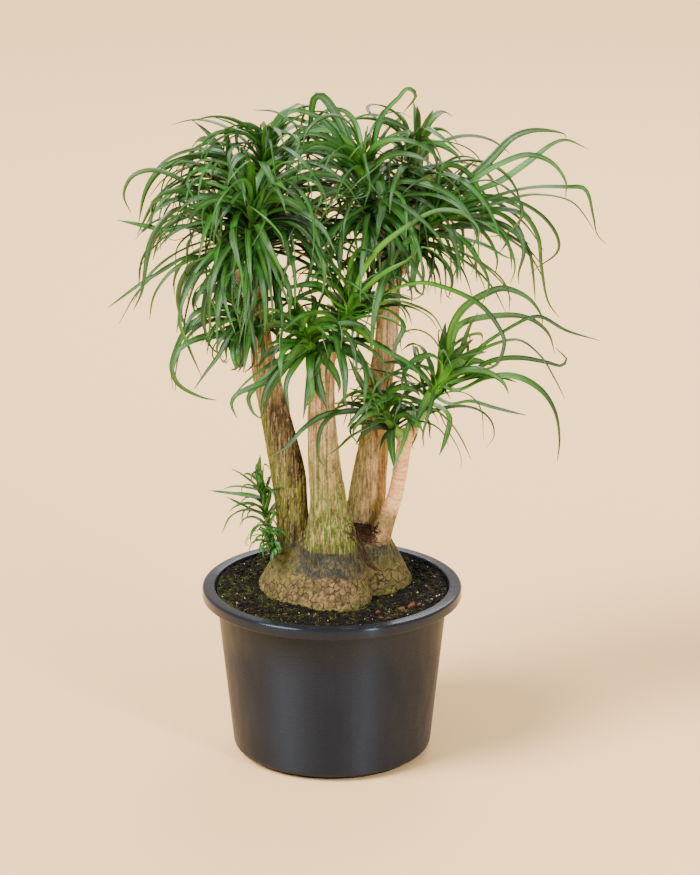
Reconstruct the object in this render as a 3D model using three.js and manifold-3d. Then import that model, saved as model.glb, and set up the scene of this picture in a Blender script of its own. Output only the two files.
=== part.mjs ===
// Potted ponytail palm: a round plastic pot, its soil, one woody body with a swollen base and four trunks,
// and a head of long strap leaves on every branch end. Millimetres, +Z up, origin at the middle of the
// pot's flat foot.

import * as THREE from 'three';
import { mergeVertices } from 'three/addons/utils/BufferGeometryUtils.js';
import Module from 'manifold-3d';

const wasm = await Module();
wasm.setup();

// Pot: radii and heights of its outline
const RIM_RADIUS = 200;
const RIM_TOP = 269;
const RIM_BAND = 17;
const RIM_ROUND = 4.5;
const LIP_RADIUS = 181;
const LIP_BEVEL = [2, 1.5];
const LEDGE_DROP = 4;
const WALL_TOP_RADIUS = 178;
const WALL_FOOT_RADIUS = 153;
const WALL_FOOT_HEIGHT = 21;
const WALL = 3.6;
const CORNER = 14;
const FOOT_RADIUS = 136;
const FOOT_HEIGHT = 5.5;
const FLOOR = 9;
const POT_SIDES = 36;

// Soil: it stands off the pot and the woody base by GAP, and its top is a shallow dish of radii and heights
const GAP = 0.35;
const SOIL_TOP = 259;
const SOIL_DISH = [
  [177.8, SOIL_TOP + 4.5], [162, SOIL_TOP + 3.5], [144, SOIL_TOP + 1.5], [126, SOIL_TOP], [84, SOIL_TOP],
  [0, SOIL_TOP],
];
const SOIL_HEAVE = 1.4;

// Swollen base: radii every 15 degrees from +X, at the soil and under the trunks. A cleft at 330 degrees
// parts the broad front lobe from the right one.
const BASE_CENTRE = [0, 10];
const BASE_AT_SOIL = [
  117, 128, 130, 124, 118, 111, 105, 101, 98, 101, 109, 115, 113, 109, 105, 100, 97, 101, 108, 108, 99, 87,
  73, 98];
const BASE_AT_TRUNKS = [
  92, 94, 94, 92, 88, 77, 66, 60, 56, 59, 64, 72, 78, 75, 70, 66, 64, 71, 78, 74, 66, 61, 57, 72];
const BASE_FLARE = 6;
const BASE_SHOULDER = 336;
const BASE_TOP = 350;
const BASE_BOTTOM = 196;
const BASE_SIDES = 28;
const BASE_LEVELS = [
  [BASE_BOTTOM, 0.5], [214, 0.8], [SOIL_TOP, 1], [268, 1.0], [290, 1], [314, 1], [BASE_SHOULDER, 0.98],
  [BASE_TOP, 0.82], [BASE_TOP + 9, 0.5],
];

// The plant was set out as it shows from EYE: a place is given as [across, up, depth], where across and up
// lie on the upright plane through the pot's middle, and the place is then moved along the line of sight
// to its own depth behind that plane.
const EYE = new THREE.Vector3(27.8, -7028, 2885.8);

// Trunks: [across, up, depth, radius] from inside the base to the top
const TRUNKS = [
  { sides: 10, turn: 0.4, flute: 0.07, spine: [
    [-54, 300, 4, 30], [-57, 350, 5, 26], [-60.5, 400, 6, 25], [-65.5, 450, 7, 26.5], [-76, 500, 8, 24.5],
    [-88, 555, 10, 22], [-99.5, 605, 12, 20.5], [-107, 660, 14, 17], [-112, 735, 15, 14]] },
  { sides: 11, turn: 1.1, flute: 0.05, spine: [
    [-1, 300, -26, 42], [-1, 335, -27, 40], [-2.5, 352, -28, 38], [-5.5, 375, -28, 32.5],
    [-6, 400, -28, 28.5], [-11.5, 449, -29, 25.5], [-15, 500, -31, 23], [-17, 545, -33, 21],
    [-14, 600, -36, 17.5], [-9, 645, -40, 14]] },
  { sides: 10, turn: 2.3, flute: 0.07, spine: [
    [46, 340, 52, 36], [48, 375, 54, 31], [51, 400, 55, 29], [56, 449, 56, 26], [63, 500, 57, 23],
    [66.5, 545, 57, 20.5], [74, 605, 57, 19], [82.5, 668, 56, 17.5], [87, 748, 55, 16.5],
    [88, 770, 55, 14]] },
  { sides: 8, turn: 0, flute: 0.02, spine: [
    [66, 320, 14, 24], [73, 347, 14, 19], [86, 382, 12, 14], [96.5, 411, 10, 12], [104, 449, 7, 11.2],
    [111.5, 500, 3, 11.5], [114, 518, 0, 12]] },
];

// Leaf heads: from is where the branch leaves its trunk, foot is the branch's cut end and tip the top of
// the green core. rule gives the leaves that follow the spiral: how many, their length, the pitch at the
// root of the oldest and the youngest and at their tips, in degrees. Each list in leaves is one leaf:
// depth of its tip behind its root, width, and then across and up of its knots.
const HEADS = [
  { name: 'head_a', from: [-112, 722, 14], foot: [-117, 795, -20], tip: [-119, 872, -46], stem: 10,
    rule: { count: 12, length: 215, rise: [20, 78], fall: [-75, -25] },
    leaves: [
      [-70, 11, -119, 848, -108, 877, -98, 913, -75, 941, -48, 941, -43, 933, -51, 925],
      [-40, 11, -117, 848, -103, 877, -87, 902, -58, 920, -44, 920],
      [-80, 12, -101, 852, -79, 857, -60, 857, -39, 850, -24, 838, -10, 816, 7, 776],
      [-50, 12, -103, 843, -82, 848, -63, 841, -46, 825, -30, 802, -10, 763, -2, 748],
      [-90, 15, -112, 839, -110, 820, -109, 793, -112, 770, -117, 730],
      [-75, 12, -114, 820, -101, 804, -88, 788, -64, 761]] },
  { name: 'head_b', from: [-112, 722, 14], foot: [-143, 778, 4], tip: [-178, 850, 0], stem: 10,
    rule: { count: 10, length: 210, rise: [15, 75], fall: [-80, -30] },
    leaves: [
      [-20, 12, -159, 837, -178, 864, -193, 886, -219, 911, -265, 930, -298, 921, -312, 891, -301, 863],
      [-60, 14, -170, 840, -188, 855, -230, 870, -256, 848, -274, 814, -281, 775, -287, 739, -300, 710],
      [20, 11, -185, 846, -230, 842, -248, 837, -284, 844, -322, 852],
      [-60, 12, -204, 841, -213, 823, -219, 798, -217, 775],
      [-30, 11, -170, 800, -191, 796, -224, 793, -252, 775, -283, 756, -318, 730, -339, 714],
      [-70, 11, -168, 810, -206, 779, -219, 754, -229, 709, -230, 690, -216, 649, -198, 605],
      [-40, 11, -177, 793, -207, 754, -221, 709, -229, 661, -244, 621, -242, 584],
      [-60, 11, -175, 775, -197, 743, -209, 712]] },
  { name: 'head_c', from: [-112, 722, 14], foot: [-106, 868, 24], tip: [-98, 958, 34], stem: 10,
    rule: { count: 14, length: 230, rise: [20, 75], fall: [-75, -35] },
    leaves: [
      [-30, 11, -98, 969, -108, 991, -120, 1000, -134, 1001, -142, 984, -136, 945],
      [0, 10, -98, 960, -104, 985, -125, 999, -150, 988, -168, 968],
      [-30, 10, -98, 960, -108, 984, -153, 991, -187, 979, -199, 957],
      [-60, 11, -98, 955, -112, 972, -149, 971, -184, 963, -196, 950],
      [-45, 11, -119, 882, -151, 915, -191, 938, -229, 943, -250, 918, -256, 890, -247, 865]] },
  { name: 'head_m', from: [-112, 725, 16], foot: [-131, 838, 40], tip: [-152, 925, 50], stem: 9.5,
    rule: { count: 12, length: 230, rise: [20, 75], fall: [-80, -35] },
    leaves: [
      [-20, 11, -136, 934, -157, 948, -179, 955, -218, 948, -258, 929, -279, 897, -290, 848],
      [20, 11, -159, 918, -196, 929, -233, 916, -266, 880, -293, 828],
      [-40, 11, -154, 898, -185, 923, -204, 940, -216, 918, -228, 890, -229, 877],
      [-60, 11, -138, 882, -157, 899, -191, 902, -209, 894, -226, 859, -248, 827, -265, 817]] },
  { name: 'head_k', from: [-112, 722, 16], foot: [-104, 790, 58], tip: [-100, 862, 92], stem: 9.5,
    rule: { count: 17, length: 255, rise: [10, 75], fall: [-85, -35] },
    leaves: [] },
  { name: 'head_l', from: [-106, 640, 12], foot: [-121, 674, -12], tip: [-137, 716, -28], stem: 9,
    rule: { count: 7, length: 150, rise: [10, 70], fall: [-80, -30] },
    leaves: [
      [-40, 11, -145, 714, -176, 717, -208, 705, -225, 676],
      [-30, 11, -147, 705, -190, 701, -218, 683, -239, 639, -243, 616, -233, 592, -196, 571, -174, 567],
      [20, 11, -130, 687, -173, 696, -204, 683, -229, 650, -238, 612, -238, 581],
      [-60, 11, -123, 667, -166, 671, -204, 665, -231, 647, -243, 606],
      [-70, 11, -124, 712, -151, 680, -170, 641, -191, 612, -210, 584],
      [-50, 10, -143, 694, -154, 661, -144, 639, -127, 648]] },
  { name: 'head_h', from: [-12, 622, -38], foot: [-24, 640, -60], tip: [-44, 668, -98], stem: 10,
    rule: { count: 8, length: 130, rise: [0, 70], fall: [-70, -10] },
    leaves: [
      [-10, 10, -33, 680, -41, 705, -52, 723, -60, 734],
      [-40, 10, -41, 659, -72, 663, -102, 654],
      [-40, 11, -45, 649, -78, 619, -102, 579, -109, 537],
      [-60, 11, -43, 647, -65, 606, -70, 586, -64, 548],
      [-50, 12, -36, 647, -34, 597, -41, 553, -44, 537],
      [-60, 12, -27, 647, -19, 597, -7, 550],
      [-40, 11, -26, 639, -29, 612, -17, 566],
      [-35, 11, -20, 654, 0, 619, 12, 590, 10, 578],
      [-20, 11, -50, 652, -72, 625, -100, 597, -126, 586, -146, 575, -153, 561, -144, 537],
      [-30, 10, -60, 640, -97, 606, -118, 586, -127, 570, -116, 542, -104, 538],
      [-10, 10, -50, 640, -72, 615, -92, 584, -108, 537]] },
  { name: 'head_g', from: [-9, 630, -39], foot: [3, 652, -46], tip: [30, 716, -60], stem: 11,
    rule: { count: 11, length: 165, rise: [25, 80], fall: [-55, 10] },
    leaves: [
      [-10, 10, 6, 676, 13, 709, 18, 738, 28, 775],
      [-70, 11, 26, 705, 42, 760, 66, 802, 104, 836, 159, 867, 199, 861, 222, 834, 204, 797],
      [-50, 11, 35, 723, 70, 763, 118, 793, 135, 811, 155, 803, 184, 773],
      [-90, 11, 45, 709, 80, 738, 132, 754, 175, 745, 226, 718, 256, 678, 262, 658, 248, 622, 204, 615],
      [-60, 14, 52, 712, 91, 728, 115, 723, 154, 703, 172, 669],
      [-70, 12, 44, 705, 78, 713, 105, 696, 109, 683, 96, 652, 89, 630],
      [-55, 14, 42, 678, 70, 654, 119, 625, 148, 591],
      [-20, 10, 6, 716, -3, 736, -17, 743, -55, 729, -104, 698],
      [-30, 10, 4, 725, -15, 751, -34, 754, -69, 747]] },
  { name: 'head_d', from: [88, 758, 55], foot: [64, 848, 34], tip: [44, 930, 14], stem: 10.5,
    rule: { count: 14, length: 235, rise: [15, 78], fall: [-80, -30] },
    leaves: [
      [30, 13, 45, 902, 18, 995, 6, 1018, -14, 1044, -24, 1043, -32, 995, -37, 963],
      [-30, 12, 49, 902, 35, 934, 9, 984, -23, 1014, -54, 1022, -66, 1016, -73, 999],
      [10, 11, 20, 940, -6, 965, -34, 986, -68, 1012, -85, 1021, -116, 1023],
      [40, 15, 60, 956, 69, 1000, 83, 1025, 100, 1042, 112, 1056, 122, 1053, 126, 1044, 107, 1018],
      [-40, 11, 23, 993, 43, 1000, 61, 1009, 76, 1027, 86, 1023, 92, 1009, 97, 970, 102, 954],
      [50, 10, 60, 960, 76, 1007, 95, 1003, 119, 988, 131, 968],
      [-70, 15, 69, 918, 76, 891, 76, 868, 71, 847, 68, 820]] },
  { name: 'head_e', from: [88, 758, 55], foot: [120, 802, 34], tip: [160, 862, 14], stem: 10.5,
    rule: { count: 9, length: 215, rise: [5, 75], fall: [-80, -30] },
    leaves: [
      [20, 12, 147, 832, 193, 899, 239, 947, 273, 982, 307, 992, 350, 985, 352, 980],
      [50, 10, 215, 897, 251, 912, 295, 943, 333, 972, 351, 977, 385, 962],
      [-30, 10, 215, 916, 255, 941, 295, 954, 331, 941, 352, 910, 351, 887],
      [-10, 11, 223, 882, 294, 903, 354, 904, 380, 901, 394, 857, 400, 830, 414, 814],
      [-50, 10, 244, 878, 304, 893, 360, 882, 385, 853, 395, 835],
      [-60, 10, 190, 900, 231, 916, 255, 908, 284, 880, 287, 859, 265, 832, 232, 825],
      [-40, 11, 224, 861, 248, 864, 279, 841, 290, 805, 282, 767, 283, 752],
      [10, 11, 167, 841, 224, 852, 266, 841, 297, 805, 303, 778, 308, 725],
      [-30, 13, 200, 866, 250, 870, 288, 861, 311, 826, 317, 778, 328, 723, 345, 698],
      [30, 10, 230, 885, 278, 882, 321, 855, 342, 820, 340, 801, 306, 774, 298, 765],
      [-80, 13, 180, 834, 192, 820, 198, 799, 195, 782],
      [-60, 11, 190, 830, 220, 792, 238, 752, 228, 720],
      [-30, 11, 190, 828, 232, 813, 265, 794, 283, 791],
      [-75, 10, 205, 850, 244, 845, 265, 822, 253, 801],
      [-20, 13, 156, 882, 158, 912, 159, 941, 145, 970, 134, 945, 140, 912],
      [0, 10, 160, 905, 168, 933, 186, 937, 213, 916, 225, 878, 224, 853]] },
  { name: 'head_f', from: [88, 760, 56], foot: [106, 868, 72], tip: [128, 960, 84], stem: 10,
    rule: { count: 15, length: 235, rise: [10, 72], fall: [-80, -40] },
    leaves: [
      [-20, 11, 102, 957, 128, 971, 162, 970, 188, 953, 197, 939]] },
  { name: 'head_p', from: [88, 756, 56], foot: [96, 800, 98], tip: [112, 858, 138], stem: 9.5,
    rule: { count: 17, length: 250, rise: [5, 72], fall: [-85, -35] },
    leaves: [] },
  { name: 'head_i', from: [113, 508, 2], foot: [127, 528, -4], tip: [168, 600, -16], stem: 9,
    rule: { count: 11, length: 165, rise: [15, 78], fall: [-60, 5] },
    leaves: [
      [30, 11, 175, 604, 180, 676, 200, 714, 236, 738, 260, 745, 298, 729, 318, 700, 319, 685],
      [10, 10, 193, 609, 223, 649, 265, 680, 301, 699, 317, 700, 356, 678, 407, 662],
      [-40, 10, 190, 610, 223, 645, 266, 663, 287, 663, 318, 638, 340, 600, 355, 569],
      [40, 10, 200, 602, 240, 629, 283, 635, 329, 627, 348, 622, 357, 631, 339, 651],
      [-30, 15, 190, 584, 236, 604, 281, 605, 320, 582, 341, 548, 348, 503, 345, 469],
      [-60, 10, 179, 562, 211, 566, 245, 556, 278, 547, 297, 543],
      [-70, 13, 174, 550, 180, 537, 172, 499, 164, 478],
      [-60, 12, 157, 595, 147, 573, 127, 526],
      [-50, 12, 165, 631, 146, 640, 116, 622, 104, 582],
      [20, 9, 175, 615, 193, 640, 210, 687, 222, 707],
      [60, 9, 178, 630, 192, 685, 254, 702, 298, 698, 328, 674, 339, 640]] },
  { name: 'head_j', from: [112, 500, 2], foot: [103, 512, -14], tip: [76, 550, -34], stem: 8.5,
    rule: { count: 8, length: 120, rise: [5, 75], fall: [-65, -5] },
    leaves: [
      [-10, 10, 74, 542, 49, 588, 25, 636],
      [-60, 10, 81, 535, 27, 549, -17, 540, -47, 518, -67, 493, -92, 477],
      [-70, 10, 81, 535, 39, 552, 6, 546, -14, 527, -21, 499, -17, 466, -6, 459],
      [-50, 11, 76, 535, 53, 524, 27, 508, 7, 488, -11, 477],
      [-40, 10, 84, 520, 77, 500, 72, 484],
      [10, 10, 79, 546, 67, 590, 49, 631, 37, 655]] },
  { name: 'shoot_n', from: [-66, 318, 6], foot: [-91, 334, 8], tip: [-109, 432, 2], stem: 5.2,
    rule: { count: 5, length: 75, rise: [20, 75], fall: [-40, 20] },
    leaves: [
      [-10, 10, -110, 436, -112, 455, -109, 479],
      [-20, 9, -110, 425, -140, 450, -154, 457],
      [-30, 8, -113, 422, -148, 429, -166, 424],
      [0, 9, -115, 409, -151, 417, -186, 421],
      [-30, 9, -105, 382, -146, 403, -161, 411],
      [-20, 9, -100, 379, -121, 390, -139, 390, -157, 379, -169, 352],
      [10, 8, -101, 415, -97, 436, -92, 449],
      [-15, 8, -93, 390, -92, 425]] },
  { name: 'shoot_o', from: [-66, 312, -16], foot: [-89, 322, -24], tip: [-101, 350, -30], stem: 4.6,
    rule: { count: 7, length: 52, rise: [10, 80], fall: [-150, -60] },
    leaves: [] },
];

// Leaf blade: a three-sided strap with a keel below, broadest a quarter of the way along
const GOLDEN_ANGLE = THREE.MathUtils.degToRad(137.50776);
const LONG_RULE = 180;
const LONG_STEPS = 5;
const SHORT_STEPS = 4;
const RULE_WIDTH = 12;
const SLIM_BELOW = 135;
const BLADE_FOOT = 0.3;
const BLADE_WIDENING = 3.2;
const BLADE_TAPER = 0.75;
const BLADE_KEEL = 0.9;
const BLADE_KEEL_PER_WIDTH = 0.17;
const BLADE_TWIST = 1.3;
const ROOT_CATCH = 14;

// Branch end and the green core that stands on it: straight stretch below the core, radii as shares of the
// stem's, and the part of the core that carries leaves
const BRANCH_STRAIGHT = 30;
const BRANCH_STRAIGHT_SHARE = 0.35;
const BRANCH_SWELL = [1.15, 1.05, 1];
const BRANCH_SIDES = 6;
const BRANCH_UP = new THREE.Vector3(0.3, 1, 0.1);
const CORE_STATIONS = [[0, 1], [0.3, 1.2], [1, 0.4]];
const CORE_SIDES = 5;
const CORE_LOW = 0.22;
const CORE_HIGH = 0.92;

// How leaves on the spiral differ: spreads of azimuth and drift in radians and of pitches in degrees, share
// of the full length for the oldest and the youngest, least share of length and width and their spreads,
// how late the bend comes, and how early a hand-set leaf reaches its depth
const TURN_SPREAD = 0.5;
const DRIFT_SPREAD = 0.9;
const RISE_SPREAD = 24;
const FALL_SPREAD = 40;
const OLD_REACH = 1.08;
const YOUNG_REACH = 0.62;
const LEAST_REACH = 0.82;
const REACH_SPREAD = 0.36;
const LEAST_WIDTH = 0.75;
const WIDTH_SPREAD = 0.4;
const LATE_BEND = 1.15;
const EARLY_DEPTH = 0.85;

// A blade that would touch another node tries these turns or depths in order, and is left out after them
const BLADE_CLEARANCE = 0.45;
const TRY_DEPTHS = [0, 16, -16, 32, -32, 50, -50, 70, -70, 95, -95];
const TRY_TURNS = [0, 9, -9, 18, -18, 27, -27, 38, -38, 50, -50];

// Edges and triangle heights that the joining must not leave behind
const SHORT_EDGE = 0.05;
const SLIVER_HEIGHT = 0.006;

const lerp = THREE.MathUtils.lerp;
const radians = THREE.MathUtils.degToRad;

function seen([across, up, depth]) {
  const reach = 1 + depth / -EYE.y;
  return new THREE.Vector3(EYE.x + (across - EYE.x) * reach, depth, EYE.z + (up - EYE.z) * reach);
}

function makeDraw(seed) {
  let state = seed >>> 0;
  return () => {
    state = (Math.imul(state, 1664525) + 1013904223) >>> 0;
    return state / 4294967296;
  };
}

// Closed skin over rings of points, each ring counter-clockwise as seen from the start of the row.
// A ring of one point is a tip.
function loft(rings) {
  const positions = [];
  const index = [];
  const starts = rings.map((ring) => {
    const start = positions.length / 3;
    ring.forEach((point) => positions.push(point.x, point.y, point.z));
    return start;
  });
  const cap = (ring, start, flip) => {
    if (ring.length === 1) return;
    const middle = positions.length / 3;
    const centre = ring.reduce((sum, point) => sum.add(point), new THREE.Vector3()).divideScalar(ring.length);
    positions.push(centre.x, centre.y, centre.z);
    ring.forEach((_, i) => {
      const a = start + i;
      const b = start + (i + 1) % ring.length;
      index.push(middle, flip ? b : a, flip ? a : b);
    });
  };
  cap(rings[0], starts[0], false);
  cap(rings.at(-1), starts.at(-1), true);
  for (let k = 0; k + 1 < rings.length; k += 1) {
    const count = Math.max(rings[k].length, rings[k + 1].length);
    for (let i = 0; i < count; i += 1) {
      const a = starts[k] + i;
      const b = starts[k] + (i + 1) % count;
      const c = starts[k + 1] + i;
      const d = starts[k + 1] + (i + 1) % count;
      if (rings[k + 1].length === 1) {
        index.push(a, starts[k + 1], b);
      } else {
        index.push(a, c, b, b, c, d);
      }
    }
  }
  const geometry = new THREE.BufferGeometry();
  geometry.setAttribute('position', new THREE.Float32BufferAttribute(positions, 3));
  geometry.setIndex(index);
  return geometry;
}

// Solid of a closed geometry, with shared corners merged and empty triangles dropped
function solid(geometry) {
  const bare = geometry.clone();
  bare.deleteAttribute('normal');
  bare.deleteAttribute('uv');
  const merged = mergeVertices(bare, 1e-4);
  const source = merged.index.array;
  const triangles = [];
  for (let i = 0; i < source.length; i += 3) {
    const [a, b, c] = [source[i], source[i + 1], source[i + 2]];
    if (a !== b && b !== c && c !== a) triangles.push(a, b, c);
  }
  return new wasm.Manifold(new wasm.Mesh({
    numProp: 3,
    vertProperties: new Float32Array(merged.attributes.position.array),
    triVerts: new Uint32Array(triangles),
  }));
}

// Groups of numbered things: join puts two in one group, find names a thing's group
function grouping(count) {
  const parent = Array.from({ length: count }, (_, i) => i);
  const find = (i) => {
    while (parent[i] !== i) {
      parent[i] = parent[parent[i]];
      i = parent[i];
    }
    return i;
  };
  const join = (a, b) => {
    parent[find(a)] = find(b);
  };
  return { find, join };
}

// Triangles with the very short edges of the joining drawn together. Triangles that close up go, and so do
// two that then lie back to back.
function weldShortEdges(points, corners) {
  const spots = grouping(points.length / 3);
  const at = (i) => new THREE.Vector3().fromArray(points, 3 * i);
  for (let i = 0; i < corners.length; i += 3) {
    [[0, 1], [1, 2], [2, 0]].forEach(([from, to]) => {
      const [a, b] = [corners[i + from], corners[i + to]];
      if (at(a).distanceTo(at(b)) < SHORT_EDGE) spots.join(a, b);
    });
  }
  const facing = new Map();
  for (let i = 0; i < corners.length; i += 3) {
    const face = [corners[i], corners[i + 1], corners[i + 2]].map(spots.find);
    if (new Set(face).size < 3) continue;
    const key = [...face].sort((a, b) => a - b).join(' ');
    if (facing.has(key)) {
      facing.delete(key);
    } else {
      facing.set(key, face);
    }
  }
  return [...facing.values()].flat();
}

// Whether the joining left a long triangle of almost no height
function hasSliver(body) {
  const mesh = body.getMesh();
  const at = (i) => new THREE.Vector3().fromArray(mesh.vertProperties, 3 * mesh.triVerts[i]);
  for (let i = 0; i < mesh.triVerts.length; i += 3) {
    const [a, b, c] = [at(i), at(i + 1), at(i + 2)];
    const edges = [a.distanceTo(b), b.distanceTo(c), c.distanceTo(a)];
    const double = b.sub(a).cross(c.sub(a)).length();
    if (Math.min(...edges) > SHORT_EDGE && double / Math.max(...edges) < SLIVER_HEIGHT) return true;
  }
  return false;
}

// Geometry of a solid's largest body: scraps and sealed hollows of the joining are dropped
function mainBody(body) {
  const mesh = body.getMesh();
  const points = mesh.vertProperties;
  const corners = weldShortEdges(points, mesh.triVerts);
  const { find, join } = grouping(points.length / 3);
  for (let i = 0; i < corners.length; i += 3) {
    join(corners[i], corners[i + 1]);
    join(corners[i + 1], corners[i + 2]);
  }
  const volumes = new Map();
  const corner = (i) => new THREE.Vector3().fromArray(points, 3 * corners[i]);
  for (let i = 0; i < corners.length; i += 3) {
    const group = find(corners[i]);
    const volume = corner(i).dot(corner(i + 1).cross(corner(i + 2))) / 6;
    volumes.set(group, (volumes.get(group) ?? 0) + volume);
  }
  const largest = [...volumes.entries()].reduce((best, entry) => (entry[1] > best[1] ? entry : best))[0];
  const kept = [];
  for (let i = 0; i < corners.length; i += 3) {
    if (find(corners[i]) === largest) kept.push(corners[i], corners[i + 1], corners[i + 2]);
  }
  const geometry = new THREE.BufferGeometry();
  geometry.setAttribute('position', new THREE.BufferAttribute(new Float32Array(points), 3));
  geometry.setIndex(kept);
  geometry.computeVertexNormals();
  return geometry;
}

// Directions along a row of points, with an upper side carried along without turning about them
function frames(points, firstUp) {
  let up = firstUp.clone();
  return points.map((point, i) => {
    const before = points[Math.max(i - 1, 0)];
    const after = points[Math.min(i + 1, points.length - 1)];
    const along = after.clone().sub(before).normalize();
    up = up.clone().addScaledVector(along, -up.dot(along)).normalize();
    return { point, along, up, side: along.clone().cross(up) };
  });
}

// Tube of a changing radius with shallow flutes
function tube(points, radii, sides, turn, flute, firstUp, lastAlong) {
  const rows = frames(points, firstUp);
  if (lastAlong) {
    const last = rows.at(-1);
    last.along = lastAlong.clone();
    last.up.addScaledVector(lastAlong, -last.up.dot(lastAlong)).normalize();
    last.side = lastAlong.clone().cross(last.up);
  }
  return loft(rows.map(({ point, up, side }, k) => Array.from({ length: sides }, (_, i) => {
    const angle = i / sides * 2 * Math.PI;
    const wave = 1 + flute * (Math.cos(3 * angle + turn + k * 0.25) + 0.6 * Math.cos(5 * angle - 2 * turn));
    const radius = radii[k] * wave;
    return point.clone().addScaledVector(side, radius * Math.cos(angle))
      .addScaledVector(up, radius * Math.sin(angle));
  })));
}

function lathe(outline, sides) {
  const turned = new THREE.LatheGeometry(outline.map(([r, z]) => new THREE.Vector2(r, z)), sides);
  return turned.rotateX(Math.PI / 2);
}

// Pot outline: up the outside from the foot, over the rim and down the inside to the floor
function makePot() {
  const bandFoot = RIM_TOP - RIM_BAND;
  const arc = (r, z, radius, from, to, steps) => Array.from({ length: steps + 1 }, (_, i) => {
    const angle = radians(lerp(from, to, i / steps));
    return [r + radius * Math.cos(angle), z + radius * Math.sin(angle)];
  });
  return lathe([
    [0, 0],
    [FOOT_RADIUS, 0],
    [FOOT_RADIUS, FOOT_HEIGHT],
    ...arc(WALL_FOOT_RADIUS - CORNER, FOOT_HEIGHT + CORNER, CORNER, -90, -5, 3),
    [WALL_TOP_RADIUS, bandFoot],
    ...arc(RIM_RADIUS - RIM_ROUND, bandFoot + RIM_ROUND, RIM_ROUND, -90, 0, 2),
    ...arc(RIM_RADIUS - RIM_ROUND, RIM_TOP - RIM_ROUND, RIM_ROUND, 0, 90, 2),
    [LIP_RADIUS + LIP_BEVEL[0], RIM_TOP],
    [LIP_RADIUS, RIM_TOP - LIP_BEVEL[1]],
    [WALL_TOP_RADIUS - WALL, bandFoot - LEDGE_DROP],
    [WALL_FOOT_RADIUS - WALL, WALL_FOOT_HEIGHT + FLOOR / 2],
    [WALL_FOOT_RADIUS - WALL - CORNER, FLOOR],
    [0, FLOOR],
  ], POT_SIDES);
}

// Radius of the swollen base towards an angle, at a share from soil to trunks
function baseRadius(angle, share) {
  const count = BASE_AT_SOIL.length;
  const place = ((angle / (2 * Math.PI)) % 1 + 1) % 1 * count;
  const at = (list) => {
    const p = [-1, 0, 1, 2].map((step) => list[(Math.floor(place) + step + count) % count]);
    const t = place % 1;
    return p[1] + 0.5 * t * (p[2] - p[0] + t * (2 * p[0] - 5 * p[1] + 4 * p[2] - p[3]
      + t * (3 * (p[1] - p[2]) + p[3] - p[0])));
  };
  return lerp(at(BASE_AT_SOIL), at(BASE_AT_TRUNKS), share);
}

// Swollen base, grown by extra on all sides
function makeBase(extra) {
  const flareTop = SOIL_TOP + BASE_FLARE;
  const shoulder = (z) => THREE.MathUtils.clamp((z - flareTop) / (BASE_SHOULDER - flareTop), 0, 1);
  return loft(BASE_LEVELS.map(([z, scale], k) => Array.from({ length: BASE_SIDES }, (_, i) => {
    const angle = -i / BASE_SIDES * 2 * Math.PI;
    const radius = baseRadius(angle, shoulder(z)) * scale + extra;
    const drop = k === 0 ? -extra : 0;
    return new THREE.Vector3(
      BASE_CENTRE[0] + radius * Math.cos(angle), BASE_CENTRE[1] + radius * Math.sin(angle), z + drop);
  })));
}

function makeSoil() {
  const wallRadius = (z) => lerp(WALL_FOOT_RADIUS, WALL_TOP_RADIUS,
    (z - WALL_FOOT_HEIGHT) / (RIM_TOP - RIM_BAND - WALL_FOOT_HEIGHT)) - WALL - GAP;
  const turned = lathe([
    [0, FLOOR + GAP],
    [WALL_FOOT_RADIUS - WALL - CORNER - GAP, FLOOR + GAP],
    [WALL_FOOT_RADIUS - WALL - GAP, WALL_FOOT_HEIGHT + FLOOR / 2],
    [wallRadius(RIM_TOP - RIM_BAND - LEDGE_DROP), RIM_TOP - RIM_BAND - LEDGE_DROP],
    ...SOIL_DISH,
  ], POT_SIDES);
  const place = turned.attributes.position;
  for (let i = 0; i < place.count; i += 1) {
    const [x, y, z] = [place.getX(i), place.getY(i), place.getZ(i)];
    const heave = Math.sin(x / 17 + 1.3) * Math.cos(y / 21) + 0.6 * Math.sin(x / 9 - y / 13);
    if (z > SOIL_TOP - 1) place.setZ(i, z + SOIL_HEAVE * heave);
  }
  return solid(turned).subtract(solid(makeBase(GAP)));
}

function makeTrunk() {
  let body = solid(makeBase(0));
  TRUNKS.forEach(({ sides, turn, flute, spine }) => {
    const points = spine.map(seen);
    const radii = spine.map((station) => station[3]);
    body = body.add(solid(tube(points, radii, sides, turn, flute, new THREE.Vector3(0, 1, 0))));
  });
  HEADS.forEach(({ from, foot, tip, stem }) => {
    const [start, end] = [seen(from), seen(foot)];
    const along = seen(tip).sub(end).normalize();
    const straight = Math.min(BRANCH_STRAIGHT, end.distanceTo(start) * BRANCH_STRAIGHT_SHARE);
    const bend = end.clone().addScaledVector(along, -straight);
    const radii = BRANCH_SWELL.map((share) => stem * share);
    body = body.add(solid(tube([start, bend, end], radii, BRANCH_SIDES, 0, 0, BRANCH_UP, along)));
  });
  return body;
}

// Green core of packed leaf bases, standing on the branch end
function makeCore({ foot, tip, stem }) {
  const [start, end] = [seen(foot), seen(tip)];
  const along = end.clone().sub(start).normalize();
  start.addScaledVector(along, GAP);
  const points = CORE_STATIONS.map(([share]) => start.clone().lerp(end, share));
  const radii = CORE_STATIONS.map(([, share]) => stem * share);
  return tube(points, radii, CORE_SIDES, 0, 0, BRANCH_UP);
}

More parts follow.
